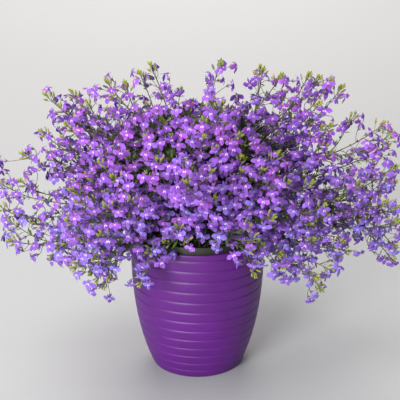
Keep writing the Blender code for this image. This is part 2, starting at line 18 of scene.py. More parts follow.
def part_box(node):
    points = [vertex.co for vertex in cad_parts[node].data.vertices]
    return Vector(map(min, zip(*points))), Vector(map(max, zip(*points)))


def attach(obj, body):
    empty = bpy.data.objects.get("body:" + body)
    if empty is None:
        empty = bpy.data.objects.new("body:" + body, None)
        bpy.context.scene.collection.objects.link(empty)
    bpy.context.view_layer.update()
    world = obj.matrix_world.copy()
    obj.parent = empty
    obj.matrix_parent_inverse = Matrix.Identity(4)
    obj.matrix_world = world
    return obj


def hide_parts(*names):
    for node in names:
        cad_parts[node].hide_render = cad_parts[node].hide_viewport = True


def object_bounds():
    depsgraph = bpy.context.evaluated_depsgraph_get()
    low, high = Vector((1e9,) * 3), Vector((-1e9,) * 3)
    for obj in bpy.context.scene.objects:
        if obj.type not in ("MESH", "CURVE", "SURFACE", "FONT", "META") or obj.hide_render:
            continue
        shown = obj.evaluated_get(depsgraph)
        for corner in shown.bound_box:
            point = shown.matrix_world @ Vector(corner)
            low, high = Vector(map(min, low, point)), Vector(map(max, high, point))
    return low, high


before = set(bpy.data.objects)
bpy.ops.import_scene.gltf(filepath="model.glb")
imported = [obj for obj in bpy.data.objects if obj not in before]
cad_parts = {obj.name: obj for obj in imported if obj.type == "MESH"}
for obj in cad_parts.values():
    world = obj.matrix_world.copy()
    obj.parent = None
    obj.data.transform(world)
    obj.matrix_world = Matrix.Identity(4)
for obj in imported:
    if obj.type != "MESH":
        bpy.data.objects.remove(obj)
cad_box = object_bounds()
MM = 0.001
print(len(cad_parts), "CAD nodes in", [[round(c / MM, 1) for c in corner] for corner in cad_box], "mm")

# %% [markdown]
# ## The camera
#
# The pot's rim, its grooves and its base were fitted to the photograph together. They give a long lens about
# 1.2 m away that looks 19.5 degrees down. The shift and the depth of field stay off, so the same camera also
# serves for the other sides.

# %% Camera
PITCH = math.radians(19.5)
CAMERA_DISTANCE = 1.190
LOOKED_AT = Vector((2.6 * MM, 0, 180 * MM))


def put(name, data):
    """A new object in the scene."""
    made = bpy.data.objects.new(name, data)
    bpy.context.scene.collection.objects.link(made)
    return made


camera_data = bpy.data.cameras.new("camera")
camera_data.lens = 103.5
camera_data.sensor_width = 36
camera = put("camera", camera_data)
camera.location = LOOKED_AT + CAMERA_DISTANCE * Vector((0, -math.cos(PITCH), math.sin(PITCH)))
camera.rotation_euler = (math.pi / 2 - PITCH, 0, 0)
bpy.context.scene.camera = camera
print("camera at", [round(c, 3) for c in camera.location])

# %% [markdown]
# ## Colours and nodes
#
# Colours are read off as sRGB hex values, because that is how an eye names them, and one function turns them
# into the linear numbers that Blender works in. One more function adds a node with its settings and links, and
# a few short ones name the nodes that come back often. So each material below reads as a list of what it is.

# %% Helpers for materials
def linear(code):
    """An sRGB hex colour as linear red, green and blue."""
    parts = np.array([int(code[i:i + 2], 16) / 255 for i in (1, 3, 5)])
    return np.where(parts <= 0.04045, parts / 12.92, ((parts + 0.055) / 1.055) ** 2.4)


def fill(tree, node, sockets):
    """Sets inputs by name or number to a value or a colour, or links them to another node's output."""
    for name, value in sockets.items():
        if isinstance(value, bpy.types.NodeSocket):
            tree.links.new(value, node.inputs[name])
        else:
            node.inputs[name].default_value = (*value, 1) if isinstance(value, np.ndarray) else value
    return node


def add_node(tree, kind, sockets, **settings):
    """A shader node of this kind with its settings and inputs."""
    node = tree.nodes.new("ShaderNode" + kind)
    for name, value in settings.items():
        setattr(node, name, value)
    return fill(tree, node, sockets)


def new_finish(name, roughness, ior):
    """A material of this name: the material, its node tree and its shader."""
    made = bpy.data.materials.new(name)
    made.use_nodes = True
    tree = made.node_tree
    return made, tree, fill(tree, tree.nodes["Principled BSDF"], {"Roughness": roughness, "IOR": ior})


def on_object(tree):
    return add_node(tree, "TexCoord", {}).outputs["Object"]


def noise(tree, size, detail):
    """Blotches of about this size, fixed to the object."""
    sockets = {"Vector": on_object(tree), "Scale": 1 / size, "Detail": detail}
    return add_node(tree, "TexNoise", sockets).outputs["Fac"]


def bumps(tree, height, strength, depth):
    return add_node(tree, "Bump", {"Height": height, "Strength": strength, "Distance": depth}).outputs["Normal"]


def maths(tree, operation, *values):
    return add_node(tree, "Math", dict(enumerate(values)), operation=operation).outputs[0]


def span(tree, value, low, high, to_low, to_high):
    """value between low and high, stretched to another range and held in it."""
    ends = {"From Min": low, "From Max": high, "To Min": to_low, "To Max": to_high}
    return add_node(tree, "MapRange", {"Value": value, **ends}).outputs["Result"]


def ramp(tree, share, stops):
    """A colour ramp over share. stops are (position, hex colour)."""
    made = add_node(tree, "ValToRGB", {"Fac": share})
    while len(made.color_ramp.elements) < len(stops):
        made.color_ramp.elements.new(0.5)
    for element, (position, code) in zip(made.color_ramp.elements, stops):
        element.position = position
        element.color = (*linear(code), 1)
    return made.outputs["Color"]


def mixed(tree, share, first, second, how="MIX"):
    """The colour first, with second laid over it by share."""
    return add_node(tree, "Mix", {0: share, 6: first, 7: second}, data_type="RGBA", blend_type=how).outputs[2]


print("lavender in linear light:", linear("#8f7ce6").round(3))

# %% [markdown]
# ## Moulded plastic
#
# The cover pot is injection-moulded polypropylene, dyed right through. The mould gives it a satin skin: broad
# soft highlights, a very fine orange peel, and slight clouds in the dye. Polypropylene bends light by 1.49. The
# nursery pot is recycled polypropylene, thinner, nearly black, and a little duller.

# %% Plastic finishes
def moulded_plastic(name, pale, deep, roughness, peel):
    """A moulded skin: two shades of dye in clouds of about 40 mm, and an orange peel of about 2 mm."""
    made, tree, shader = new_finish(name, roughness, 1.49)
    skin = noise(tree, 2 * MM, 4)
    fill(tree, shader, {
        "Base Color": ramp(tree, noise(tree, 40 * MM, 3), [(0.3, deep), (0.7, pale)]),
        "Normal": bumps(tree, skin, peel, 0.1 * MM),
        "Roughness": span(tree, skin, 0, 1, roughness - 0.05, roughness + 0.05),
    })
    return made


violet_polypropylene = moulded_plastic("moulded_violet_polypropylene", "#580c7a", "#4f0b6d", 0.5, 0.25)
black_polypropylene = moulded_plastic("recycled_black_polypropylene", "#31332e", "#22241f", 0.55, 0.6)
print("plastics:", violet_polypropylene.name, black_polypropylene.name)

# %% [markdown]
# ## The cover pot
#
# A pot like this is turned: one outline swept round an axis. The Screw modifier does that, and it is exact all
# the way round. The outline repeats the frame's bands. Each band laps over the one below, so that its foot
# throws a thin dark line and its shoulder catches a thin light one. The frame draws a band with two points, and
# here it has nine, with its edges rounded as a mould rounds them.

# %% Cover pot
POT_HEIGHT = 146 * MM
RIM_RADIUS = 70 * MM
BASE_RADIUS = 48 * MM
WALL_BULGE = 2.8  # how fast the wall closes in towards the base
WALL = 3.2 * MM
POT_FLOOR = 3 * MM
LIP_HEIGHT = 6.5 * MM
BANDS = 13
BAND_SHRINK = 0.2  # the lowest band is this share shorter than the highest
GROOVE_DEPTH = 0.8 * MM  # a little shallower than the frame's, as the photograph shows it
TURNED_SIDES = 112
SHOULDER = [(0, 1.0), (-0.3, 0.9), (-0.8, 0.4), (-1.5, 0.08), (-2.4, 0)]  # mm above a groove, share of its depth
FOOT = [(1.6, 0.02), (0.8, 0.12), (0.3, 0.4), (0.05, 0.9)]


def cover_radius(height):
    """Outer radius of the cover pot's wall, on its bands."""
    return RIM_RADIUS - (RIM_RADIUS - BASE_RADIUS) * (1 - height / POT_HEIGHT) ** WALL_BULGE


def band_tops():
    """Heights of the grooves, from the lip down to the base."""
    shares = [1 - BAND_SHRINK * (i / (BANDS - 1)) ** 2 for i in range(BANDS)]
    heights = [POT_HEIGHT - LIP_HEIGHT]
    unit_height = heights[0] / sum(shares)
    for share in shares:
        heights.append(heights[-1] - unit_height * share)
    return heights


def by_groove(height, shape):
    return [(cover_radius(height + h * MM) - GROOVE_DEPTH * d, height + h * MM) for h, d in shape]


def add_piece(name, mesh, finish, slot, *nodes, crease=35):
    """A smooth piece with creases over this many degrees, on its body and in place of its CAD nodes."""
    mesh.materials.clear()
    mesh.materials.append(finish)
    mesh.shade_smooth()
    mesh.set_sharp_from_angle(angle=math.radians(crease))
    piece = put(name, mesh)
    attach(piece, "root")
    if nodes:
        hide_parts(*nodes)
    return piece


def with_modifiers(thing):
    return bpy.data.meshes.new_from_object(thing.evaluated_get(bpy.context.evaluated_depsgraph_get()))


def turned(name, outline, sides):
    """The mesh of an outline turned round the Z axis. The outline runs up the inside, then down the outside."""
    thread = bpy.data.meshes.new(name)
    thread.from_pydata([(r, 0, h) for r, h in outline], [(i, i + 1) for i in range(len(outline) - 1)], [])
    holder = put(name, thread)
    screw = holder.modifiers.new("turn", "SCREW")
    screw.steps = screw.render_steps = sides
    screw.use_merge_vertices = True
    screw.merge_threshold = 0.00001
    mesh = with_modifiers(holder)
    bpy.data.objects.remove(holder)
    return mesh


outline = [(0, POT_FLOOR), (BASE_RADIUS - WALL - 2 * MM, POT_FLOOR), (BASE_RADIUS - WALL, 5 * MM)]
outline += [(cover_radius(h * MM) - WALL, h * MM) for h in (8, 14, 25, 40, 60, 80, 100, 125)]
lip = [(WALL, 0.8), (WALL - 0.6 * MM, 0.15), (WALL - 1.4 * MM, 0),
       (1.4 * MM, 0), (0.5 * MM, 0.2), (0.1 * MM, 0.7), (0, 1.6)]
outline += [(RIM_RADIUS - inset, POT_HEIGHT - drop * MM) for inset, drop in lip]
grooves = band_tops()
outline += by_groove(grooves[0], FOOT)
for top, below in zip(grooves, grooves[1:]):
    outline += by_groove(top, SHOULDER)
    if below > 1 * MM:
        outline += by_groove(below, FOOT)
outline += [(BASE_RADIUS, 1.2 * MM), (BASE_RADIUS - 0.4 * MM, 0.3 * MM), (BASE_RADIUS - 1.2 * MM, 0), (0, 0)]
cover_pot = add_piece("cover_pot_fine", turned("cover_pot_fine", outline, TURNED_SIDES), violet_polypropylene,
                      "cover_pot", "cover_pot", crease=50)
print("cover pot:", len(cover_pot.data.polygons), "faces,", BANDS, "bands")

# %% [markdown]
# ## The nursery pot
#
# Plants are sold in a thin dark pot that stands inside the cover pot. All that shows of it is the rim, a little
# above the violet lip. It is turned in the same way, with a rolled rim, and four drain holes are cut with one
# Boolean, because a turned shape can't have holes off its axis.

# %% Nursery pot
GAP = 0.3 * MM  # between things that rest on each other
NURSERY_TOP = 152.5 * MM
NURSERY_RIM = 65 * MM
NURSERY_RIM_HEIGHT = 9 * MM
NURSERY_NECK = 62.5 * MM
NURSERY_BASE = 39 * MM
NURSERY_WALL = 1.4 * MM
DRAIN_RADIUS = 4 * MM
DRAIN_RING = 22 * MM
bottom = POT_FLOOR + GAP
neck = NURSERY_TOP - NURSERY_RIM_HEIGHT
nursery_floor = bottom + NURSERY_WALL


def nursery_radius(height):
    """Outer radius of the nursery pot's wall below its rim."""
    return NURSERY_BASE + (height - bottom) / (neck - bottom) * (NURSERY_NECK - NURSERY_BASE)


nursery_outline = [
    (0, nursery_floor), (nursery_radius(nursery_floor) - NURSERY_WALL, nursery_floor),
    (NURSERY_RIM - 2 * NURSERY_WALL, NURSERY_TOP - 1 * MM),
    (NURSERY_RIM - 1.5 * NURSERY_WALL, NURSERY_TOP - 0.2 * MM),
    (NURSERY_RIM - 1 * MM, NURSERY_TOP), (NURSERY_RIM - 0.2 * MM, NURSERY_TOP - 0.4 * MM),
    (NURSERY_RIM, NURSERY_TOP - 1.2 * MM), (NURSERY_RIM, neck + 0.5 * MM), (NURSERY_RIM - 0.5 * MM, neck),
    (NURSERY_NECK, neck), (NURSERY_BASE + 0.8 * MM, bottom + 1 * MM),
    (NURSERY_BASE - 0.6 * MM, bottom), (0, bottom),
]
nursery_pot = add_piece("nursery_pot_fine", turned("nursery_pot_fine", nursery_outline, 72), black_polypropylene,
                        "nursery_pot", "nursery_pot")
drills = bmesh.new()
for turn in np.arange(4) * math.tau / 4:
    spot = Vector((math.cos(turn) * DRAIN_RING, math.sin(turn) * DRAIN_RING, bottom))
    bmesh.ops.create_cone(drills, cap_ends=True, segments=20, radius1=DRAIN_RADIUS, radius2=DRAIN_RADIUS,
                          depth=8 * MM, matrix=Matrix.Translation(spot))
drill_mesh = bpy.data.meshes.new("drills")
drills.to_mesh(drill_mesh)
drills.free()
drill = put("drills", drill_mesh)
cut = nursery_pot.modifiers.new("drain", "BOOLEAN")
cut.operation, cut.solver, cut.object = "DIFFERENCE", "MANIFOLD", drill
bpy.context.view_layer.update()
nursery_pot.data = with_modifiers(nursery_pot)
nursery_pot.modifiers.clear()
bpy.data.objects.remove(drill)
print("nursery pot:", len(nursery_pot.data.polygons), "faces, 4 drain holes")

# %% [markdown]
# ## The plan of the plant
#
# The frame was laid out by one seeded rule: tips are chosen, a stem bends out to each, and flowers are turned
# round the stems until each one hangs clear. The rule is repeated here number for number, so that every fine
# stem and flower lands where its solid is. Reading the solids' points back would be the other way, but a plan
# also gives the direction of each stalk, which the finer shapes need.

# %% The frame's numbers
SOIL_TOP = 142 * MM
SOIL_CROWNING = 2 * MM
CROWN_OUTLINE = np.array([
    (20, -9), (22, 4), (32, 18), (54, 35), (76, 53), (84, 73), (77, 94), (56, 112), (27, 122),
])  # mm: radius, height above the soil
CROWN_HEART = 52 * MM  # height above the soil that the crown's growth spreads from
CROWN_FLOWERS, CROWN_LEAVES = 82, 12
CROWN_FLOWER_WIDTH = 26 * MM
CROWN_STALK = (9 * MM, 26 * MM)
CROWN_SUNK = 14 * MM
SUNK = 4 * MM  # the first length of a stalk, which may touch its own stem
SEED = 12
SPRAYS = 28
STEM_RADIUS = 1.15 * MM
STEM_POINTS = {"crown": 4, "soil": 6}
STEM_SUNK = 14 * MM
STEP_ROOM = 0.5 * MM  # free space kept between the pieces of two sprays
LAP = 1.2 * MM  # how far two flowers of one spray may run into each other
CROWN_ROOTED_ABOVE = 17  # degrees of a tip's elevation above which its spray grows from the crown
ROOT_RING = (35 * MM, 46 * MM)
RIM_CLEARANCE = 3 * MM
FLOWERS = {"crown": 5, "soil": 6}
FLOWER_WIDTH = 22 * MM
TUBE_LENGTH = 7 * MM
PEDICEL = (12 * MM, 24 * MM)
PEDICEL_RADIUS = 0.62 * MM
LEAVES = {"crown": 0, "soil": 1}
LEAF_LENGTH, LEAF_WIDTH, LEAF_THICKNESS = 15 * MM, 5.5 * MM, 1.3 * MM
BUD_LENGTH = 8 * MM
GOLDEN_ANGLE = math.radians(137.5)
OUTLINE_TIPS = [
    (-48, 20, 318), (24, 10, 320), (84, 0, 312), (124, 15, 306), (196, -10, 255), (194, 20, 200),
    (206, -15, 162), (118, -85, 122), (-90, -10, 308), (-140, 15, 276), (-176, -20, 236), (-204, 5, 196),
    (-190, -40, 150), (-105, -75, 112), (-48, -95, 126),
]
LOBES = [(-0.68, -0.1, 0.34), (0.68, -0.1, 0.34), (0, -0.66, 0.36), (-0.37, 0.78, 0.12), (0.37, 0.78, 0.12)]
rule = random.Random(SEED)
crown_radii, crown_heights = CROWN_OUTLINE.T
print("the frame's rule:", SPRAYS, "sprays, crown", crown_radii.max() * 2, "mm across")


# %% Room between rods
def rod_distances(a, b, p, q):
    """Shortest distances between the segment a-b and each of the segments p-q."""
    along, others, between = b - a, q - p, a - p
    aa = max(float(along @ along), 1e-12)
    oo = np.maximum((others * others).sum(1), 1e-12)
    ao = others @ along
    ab = between @ along
    ob = (others * between).sum(1)
    slope = aa * oo - ao * ao
    s = np.where(slope > 1e-16, np.clip((ao * ob - ab * oo) / np.maximum(slope, 1e-16), 0, 1), 0)
    t = np.clip((ao * s + ob) / oo, 0, 1)
    s = np.clip((ao * t - ab) / aa, 0, 1)
    nearest = between + s[:, None] * along - t[:, None] * others
    return np.sqrt((nearest * nearest).sum(1))


class Space:
    """Straight rods with a radius and an owner: what each new part has to stay clear of."""

    rods, owners = [], []

    def add(self, start, end, radius, owner):
        self.rods.append((*start, *end, radius))
        self.owners.append(owner)

    def room(self, start, end, radius, owner, own_room=None):
        """The free distance between a new rod and the others. Rods of its owner count only with own_room."""
        if not self.rods:
            return 1.0
        rods, own = np.array(self.rods), np.array(self.owners) == owner
        reach = rods[:, 6] + radius
        if own_room is None:
            rods, reach = rods[~own], reach[~own]
        else:
            reach = np.where(own, reach - own_room, reach)
        if len(rods) == 0:
            return 1.0
        return float((rod_distances(np.array(start), np.array(end), rods[:, :3], rods[:, 3:6]) - reach).min())


space = Space()


# %% Directions and the room round the core and the pots
def direction(azimuth, elevation):
    """Degrees to a direction. Azimuth 0 points at the viewer and 90 to the right."""
    a, e = math.radians(azimuth), math.radians(elevation)
    return Vector((math.sin(a) * math.cos(e), -math.cos(a) * math.cos(e), math.sin(e)))


def perpendicular(axis, turn):
    """A direction at right angles to axis, turned round it."""
    side = axis.cross(Vector((0, 0, 1)))
    if side.length < 0.05:
        side = axis.cross(Vector((1, 0, 0)))
    side.normalize()
    return (side * math.cos(turn) + axis.cross(side) * math.sin(turn)).normalized()


def crown_room(point):
    """Distance from the crown's core, negative inside it."""
    spot = np.array([math.hypot(point.x, point.y), point.z - SOIL_TOP]) / MM
    line = np.array([(0, crown_heights[0]), *CROWN_OUTLINE, (0, crown_heights[-1] + 1)])
    a, along = line[:-1], np.diff(line, axis=0)
    share = np.clip(((spot - a) * along).sum(1) / (along * along).sum(1), 0, 1)
    nearest = np.linalg.norm(spot - a - share[:, None] * along, axis=1).min()
    within = (crown_heights[0] < spot[1] < crown_heights[-1]
              and spot[0] < np.interp(spot[1], crown_heights, crown_radii))
    return (-nearest if within else nearest) * MM


def pots_room(point):
    """Roughly the distance from the pots and the soil, with the space inside the rims counted as theirs."""
    radius = math.hypot(point.x, point.y)
    wall = RIM_RADIUS if point.z > POT_HEIGHT else cover_radius(max(point.z, 0))
    return max(point.z - NURSERY_TOP, radius - wall)


def clear_of_solids(start, end, radius):
    """True if a rod keeps off the crown's core and the pots."""
    steps = max(1, round((end - start).length / (4 * MM)))
    points = [start.lerp(end, i / steps) for i in range(steps + 1)]
    return all(min(crown_room(p), pots_room(p)) > radius + STEP_ROOM for p in points)


def stem_clears_rims(point):
    """True where a stem is still over the soil, or passes over both rims, or is outside them."""
    over_soil = math.hypot(point.x, point.y) < NURSERY_RIM - 8 * MM
    clear = point.z > SOIL_TOP - MM if over_soil else pots_room(point) > RIM_CLEARANCE
    return clear and crown_room(point) > STEM_RADIUS + STEP_ROOM


# %% Stems of the frame
def lowest_elevation(azimuth):
    """How low a spray's tip may hang: over the rim's front the sprays stay up, elsewhere they trail."""
    from_front = abs((azimuth + 180) % 360 - 180)
    return -12 + 38 * min(1.0, max(0.0, 1.45 - from_front / 34))


def choose_tips():
    """The outline's tips, then more in the widest gaps between them, all round the plant."""
    heart = Vector((0, 0, SOIL_TOP))
    tips = [Vector(tip) * MM for tip in OUTLINE_TIPS]
    while len(tips) < SPRAYS:
        best, widest = None, -1.0
        for _ in range(80):
            azimuth = rule.uniform(0, 360)
            elevation = math.degrees(math.asin(rule.uniform(-0.2, 0.97)))
            if elevation < lowest_elevation(azimuth):
                continue
            way = direction(azimuth, elevation)
            gap = min((way - (tip - heart).normalized()).length for tip in tips)
            if gap > widest:
                best, widest = way, gap
        tips.append(heart + best * rule.uniform(148, 188) * MM)
    return tips


def bent(points, share):
    """A point of the cubic curve through these four control points."""
    a, b, c, d = points
    rest = 1 - share
    return a * rest**3 + b * 3 * rest**2 * share + c * 3 * rest * share**2 + d * share**3


def stem_line(tip, sway):
    """Where a stem is rooted, and its centreline: a straight sunk end, then a bend out and up."""
    heart = Vector((0, 0, SOIL_TOP))
    way = (tip - heart).normalized()
    flat = Vector((way.x, way.y, 0)).normalized()
    if math.degrees(math.asin(way.z)) > CROWN_ROOTED_ABOVE:
        rooted_in = "crown"
        mouth = heart + Vector((0, 0, CROWN_HEART))
        rise = (tip - mouth + sway * 3).normalized()
        while crown_room(mouth) < 0.2 * MM:
            mouth = mouth + rise * 0.5 * MM
    else:
        rooted_in = "soil"
        rise = (flat + Vector((0, 0, 1.5)) + sway * 30).normalized()
        near, far = ROOT_RING
        ring = near + (far - near) * (0.5 + 0.5 * math.sin(9 * way.x))
        mouth = heart + flat * ring + flat.cross(Vector((0, 0, 1))) * sway.x + Vector((0, 0, SOIL_CROWNING))
    last = (flat + Vector((0, 0, 0.4 + (1.4 if way.z > 0 else 5) * way.z))).normalized()
    length = (tip - mouth).length
    pull = 0.3 if way.z > 0 else 0.42
    controls = [mouth, mouth + rise * length * pull, tip - last * length * 0.35 + sway, tip]
    count = STEM_POINTS[rooted_in]
    return rooted_in, [mouth - rise * STEM_SUNK, *(bent(controls, i / count) for i in range(count + 1))]


def along_stem(line, share):
    """Point and direction at this share of a stem's length above its mouth."""
    bend = line[1:]
    lengths = [(b - a).length for a, b in zip(bend, bend[1:])]
    left = share * sum(lengths)
    for a, b, length in zip(bend, bend[1:], lengths):
        if left <= length:
            return a.lerp(b, left / length), (b - a).normalized()
        left -= length
    return bend[-1].copy(), (bend[-1] - bend[-2]).normalized()


def stem_stands_clear(line, name):
    """True if a stem keeps off the rims, the crown's core and every other stem."""
    if math.hypot(line[1].x, line[1].y) > ROOT_RING[1] + 3 * MM and line[1].z < NURSERY_TOP:
        return False
    if not all(stem_clears_rims(along_stem(line, i / 40)[0]) for i in range(1, 41)):
        return False
    return min(space.room(a, b, STEM_RADIUS, name) for a, b in zip(line, line[1:])) > 2 * STEP_ROOM


sprays = []
for tip in choose_tips():
    name = f"spray_{len(sprays) + 1:02d}"
    for attempt in range(60):
        sway = Vector([rule.uniform(-0.5, 0.5) * attempt * MM for _ in range(3)])
        rooted_in, line = stem_line(tip + Vector((0, 0, 0.6 * attempt * MM)), sway)
        if stem_stands_clear(line, name):
            break
    else:
        continue
    for a, b in zip(line, line[1:]):
        space.add(a, b, STEM_RADIUS, name)
    end, along = along_stem(line, 1)
    space.add(end, end + along * BUD_LENGTH * 0.6, BUD_LENGTH * 0.7, name)
    sprays.append({"name": name, "rooted_in": rooted_in, "stem": line, "leaves": [], "flowers": []})
print(len(sprays), "sprays stand clear of each other")


# %% Flowers and leaves of the frame
def flower_rods(base, knee, facing, width):
    """The rods of a flower: its stalk past the root, its bell and its lobes."""
    face = knee + facing * TUBE_LENGTH
    right = perpendicular(facing, 0) * -1
    up = facing.cross(right)
    half = width / 2
    rods = [(base + (knee - base).normalized() * SUNK, knee, PEDICEL_RADIUS), (knee, face, 0.2 * half)]
    return rods + [(face, face + (right * x + up * y) * half, radius * half) for x, y, radius in LOBES]


def try_rods(rods, owner, own_room):
    """Books the rods for their owner and returns True, if all of them are clear."""
    for start, end, radius in rods:
        if not clear_of_solids(start, end, radius):
            return False
        if space.room(start, end, radius, owner, own_room) < STEP_ROOM:
            return False
    for rod in rods:
        space.add(*rod, owner)
    return True


def facing_of(way, knee):
    """Which way a flower looks: out from the plant, along its stalk and a little up."""
    out = Vector((knee.x, knee.y, 0)).normalized()
    return (out * 0.75 + way * 0.55 + Vector((0, 0, 0.2))).normalized()


def crown_spot(index, count):
    """A point on the crown's core and the way out of it, spread by the golden angle."""
    low, high = crown_heights[1], crown_heights[-1]
    height = low + (high - low) * (0.12 + 0.88 * (index + 0.5) / count)
    turn = index * GOLDEN_ANGLE
    radius = float(np.interp(height, crown_heights, crown_radii))
    spot = Vector((math.cos(turn), math.sin(turn), 0)) * radius * MM + Vector((0, 0, SOIL_TOP + height * MM))
    return spot, (spot - Vector((0, 0, SOIL_TOP + CROWN_HEART))).normalized()


crown_flowers, crown_leaves = [], []
for i in range(CROWN_FLOWERS):
    for attempt in range(16):
        spot, out = crown_spot(i + rule.uniform(-0.4, 0.4), CROWN_FLOWERS)
        lean = perpendicular(out, rule.uniform(0, math.tau)) * rule.uniform(0.1, 0.35 + 0.03 * attempt)
        way = (out + lean + Vector((0, 0, 0.15))).normalized()
        base, knee = spot - way * CROWN_SUNK, spot + way * rule.uniform(*CROWN_STALK)
        rods = flower_rods(base, knee, facing_of(way, knee), CROWN_FLOWER_WIDTH)
        rods[0] = (spot + way * 2 * MM, knee, PEDICEL_RADIUS)
        if try_rods(rods, "crown", LAP):
            crown_flowers.append((base, knee, facing_of(way, knee)))
            break
for k in range(max(FLOWERS.values())):
    for spray in sprays:
        wanted = FLOWERS[spray["rooted_in"]]
        if k >= wanted:
            continue
        low = 0.25 if spray["rooted_in"] == "crown" else 0.4
        share = 0.95 - (0.95 - low) * k / (wanted - 1)
        for attempt in range(40):
            base, along = along_stem(spray["stem"], share + rule.uniform(-0.05, 0.05))
            turn = k * GOLDEN_ANGLE + rule.uniform(-0.5, 0.5) + attempt * 0.9
            lean = math.radians(rule.uniform(38, 72))
            way = (along * math.cos(lean) + perpendicular(along, turn) * math.sin(lean)).normalized()
            knee = base + way * rule.uniform(*PEDICEL)
            if try_rods(flower_rods(base, knee, facing_of(way, knee), FLOWER_WIDTH), spray["name"], LAP):
                spray["flowers"].append((base, knee, facing_of(way, knee)))
                break
for spray in sprays:
    wanted = LEAVES[spray["rooted_in"]]
    for _ in range(wanted * 10):
        base, along = along_stem(spray["stem"], rule.uniform(0.1, 0.45))
        way = (along * 0.55 + perpendicular(along, rule.uniform(0, math.tau))).normalized()
        tip = base + way * LEAF_LENGTH
        if try_rods([(base + way * 6 * MM, tip, LEAF_WIDTH / 2)], spray["name"], None):
            spray["leaves"].append((base, tip))
            if len(spray["leaves"]) == wanted:
                break
for i in range(CROWN_LEAVES):
    for _ in range(8):
        spot, out = crown_spot(i + rule.uniform(-0.5, 0.5), CROWN_LEAVES)
        way = (out + perpendicular(out, rule.uniform(0, math.tau)) * 0.7).normalized()
        tip = spot + way * LEAF_LENGTH
        if try_rods([(spot + way * 5 * MM, tip, LEAF_THICKNESS)], "crown", None):
            crown_leaves.append((spot - way * CROWN_SUNK, tip))
            break
strays = [
    spray["name"] for spray in sprays
    for knee in [flower[1] for flower in spray["flowers"]] + [spray["stem"][-1]]
    if any(knee[i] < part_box(spray["name"])[0][i] - MM or knee[i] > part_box(spray["name"])[1][i] + MM
           for i in range(3))
]
print(len(sprays), "sprays with", sum(len(s["flowers"]) for s in sprays), "flowers;", len(crown_flowers),
      "flowers on the crown; outside their CAD box:", strays)

# %% [markdown]
# ## More stems than the frame has
#
# A full pot holds well over a hundred stems, of which the frame has 28. The others fill the widest gaps between
# them. They start in the soil, rise, lean out, and turn up again at the tip, as stems do that grow towards the
# light, or hang over the rims. Shoots branch off the longer ones. Each path is an array of points, because
# hundreds of rods made together as arrays take a second, and made one by one they take minutes.

# %% Paths of all stems
GROWTH_SEED = 5
FILLING_STEMS = 58
INNER_STEMS = 34  # shorter, over the upper front
BACK_STEMS = 10  # the same over the back
REACH = np.array([212, 172, 170]) * MM  # how far the plant spreads: sideways, to front and back, and up
EDGE_TIPS = [
    (-153, 0, 292), (-160, 6, 252), (-205, -10, 178), (-182, -4, 202), (-128, 12, 292), (-150, -10, 232),
    (-132, -6, 262), (-138, 4, 246), (-152, -15, 122), (-58, 6, 313), (-72, -8, 306), (66, 6, 317),
    (112, 0, 313), (134, 0, 306), (146, 5, 299), (122, -12, 286), (118, 8, 264), (134, -10, 262),
    (136, -15, 236), (190, 0, 262), (196, 10, 236), (202, -8, 218), (204, 4, 198), (206, 0, 172),
    (194, -20, 184), (206, -6, 128), (207, 6, 110), (-46, -100, 132), (-56, -95, 126), (-70, -88, 130),
    (-84, -80, 124), (-100, -70, 120), (-124, -52, 124), (50, -99, 133), (61, -95, 124), (76, -84, 110),
    (92, -72, 106), (104, -60, 102), (122, -52, 100),
]  # mm, where the photograph shows more tips along the outline
LEFT_TIPS = [
    (-122, 40, 228), (-142, 30, 230), (-116, 22, 250), (-100, 46, 252), (-152, 42, 200), (-132, 56, 190),
]  # mm, at the left behind
STATIONS = 18
SECTORS = 10  # groups of the added stems, round the plant
HEART = np.array([0, 0, SOIL_TOP])
UP = np.array([0.0, 0.0, 1.0])
draw = random.Random(GROWTH_SEED)
dice = np.random.default_rng(GROWTH_SEED)
low_corner, high_corner = (np.array(corner) for corner in cad_box)


def unit(rows):
    """Each row at length 1."""
    return rows / np.maximum(np.linalg.norm(rows, axis=-1, keepdims=True), 1e-12)


def smooth_path(points, count):
    """An even path of count points through the given ones (a Catmull-Rom curve)."""
    points = np.array(points)
    padded = np.vstack([2 * points[0] - points[1], points, 2 * points[-1] - points[-2]])
    t = np.linspace(0, 1, 12, endpoint=False)[:, None]
    fine = [0.5 * (2 * b + (c - a) * t + (2 * a - 5 * b + 4 * c - d) * t**2 + (3 * b - a - 3 * c + d) * t**3)
            for a, b, c, d in zip(padded, padded[1:], padded[2:], padded[3:])]
    fine = np.vstack([*fine, points[-1:]])
    walked = np.concatenate([[0], np.cumsum(np.linalg.norm(np.diff(fine, axis=0), axis=1))])
    even = np.linspace(0, walked[-1], count)
    return np.stack([np.interp(even, walked, fine[:, i]) for i in range(3)], axis=1)


def path_length(path):
    return np.linalg.norm(np.diff(path, axis=0), axis=1).sum()


def at_share(path, share):
    """Point and direction at this share of a path."""
    spot = min(max(share, 0), 0.9999) * (len(path) - 1)
    i = int(spot)
    return path[i] + (path[i + 1] - path[i]) * (spot - i), unit(path[i + 1] - path[i])


def beside(along, turn):
    """A direction at right angles to along, turned round it, as an array."""
    return np.array(perpendicular(Vector(along), turn))


def in_box(point, margin):
    return bool(np.all(point > low_corner + margin) and np.all(point < high_corner - margin))


def over_pots(point, room):
    """True if a point above the soil keeps this far from the pots' rims and walls."""
    if math.hypot(point[0], point[1]) < NURSERY_RIM - 8 * MM:
        return point[2] > SOIL_TOP + room
    return pots_room(Vector(point)) > room


def hides_rim(point, room):
    """True in front of the middle of the rims, which the photograph shows nearly bare."""
    beyond = -point[1] - RIM_RADIUS
    low = point[2] < NURSERY_TOP + room + beyond * math.tan(PITCH)
    return low and beyond > -12 * MM and abs(point[0] - 2 * MM) < 31 * MM + min(room, 7 * MM)


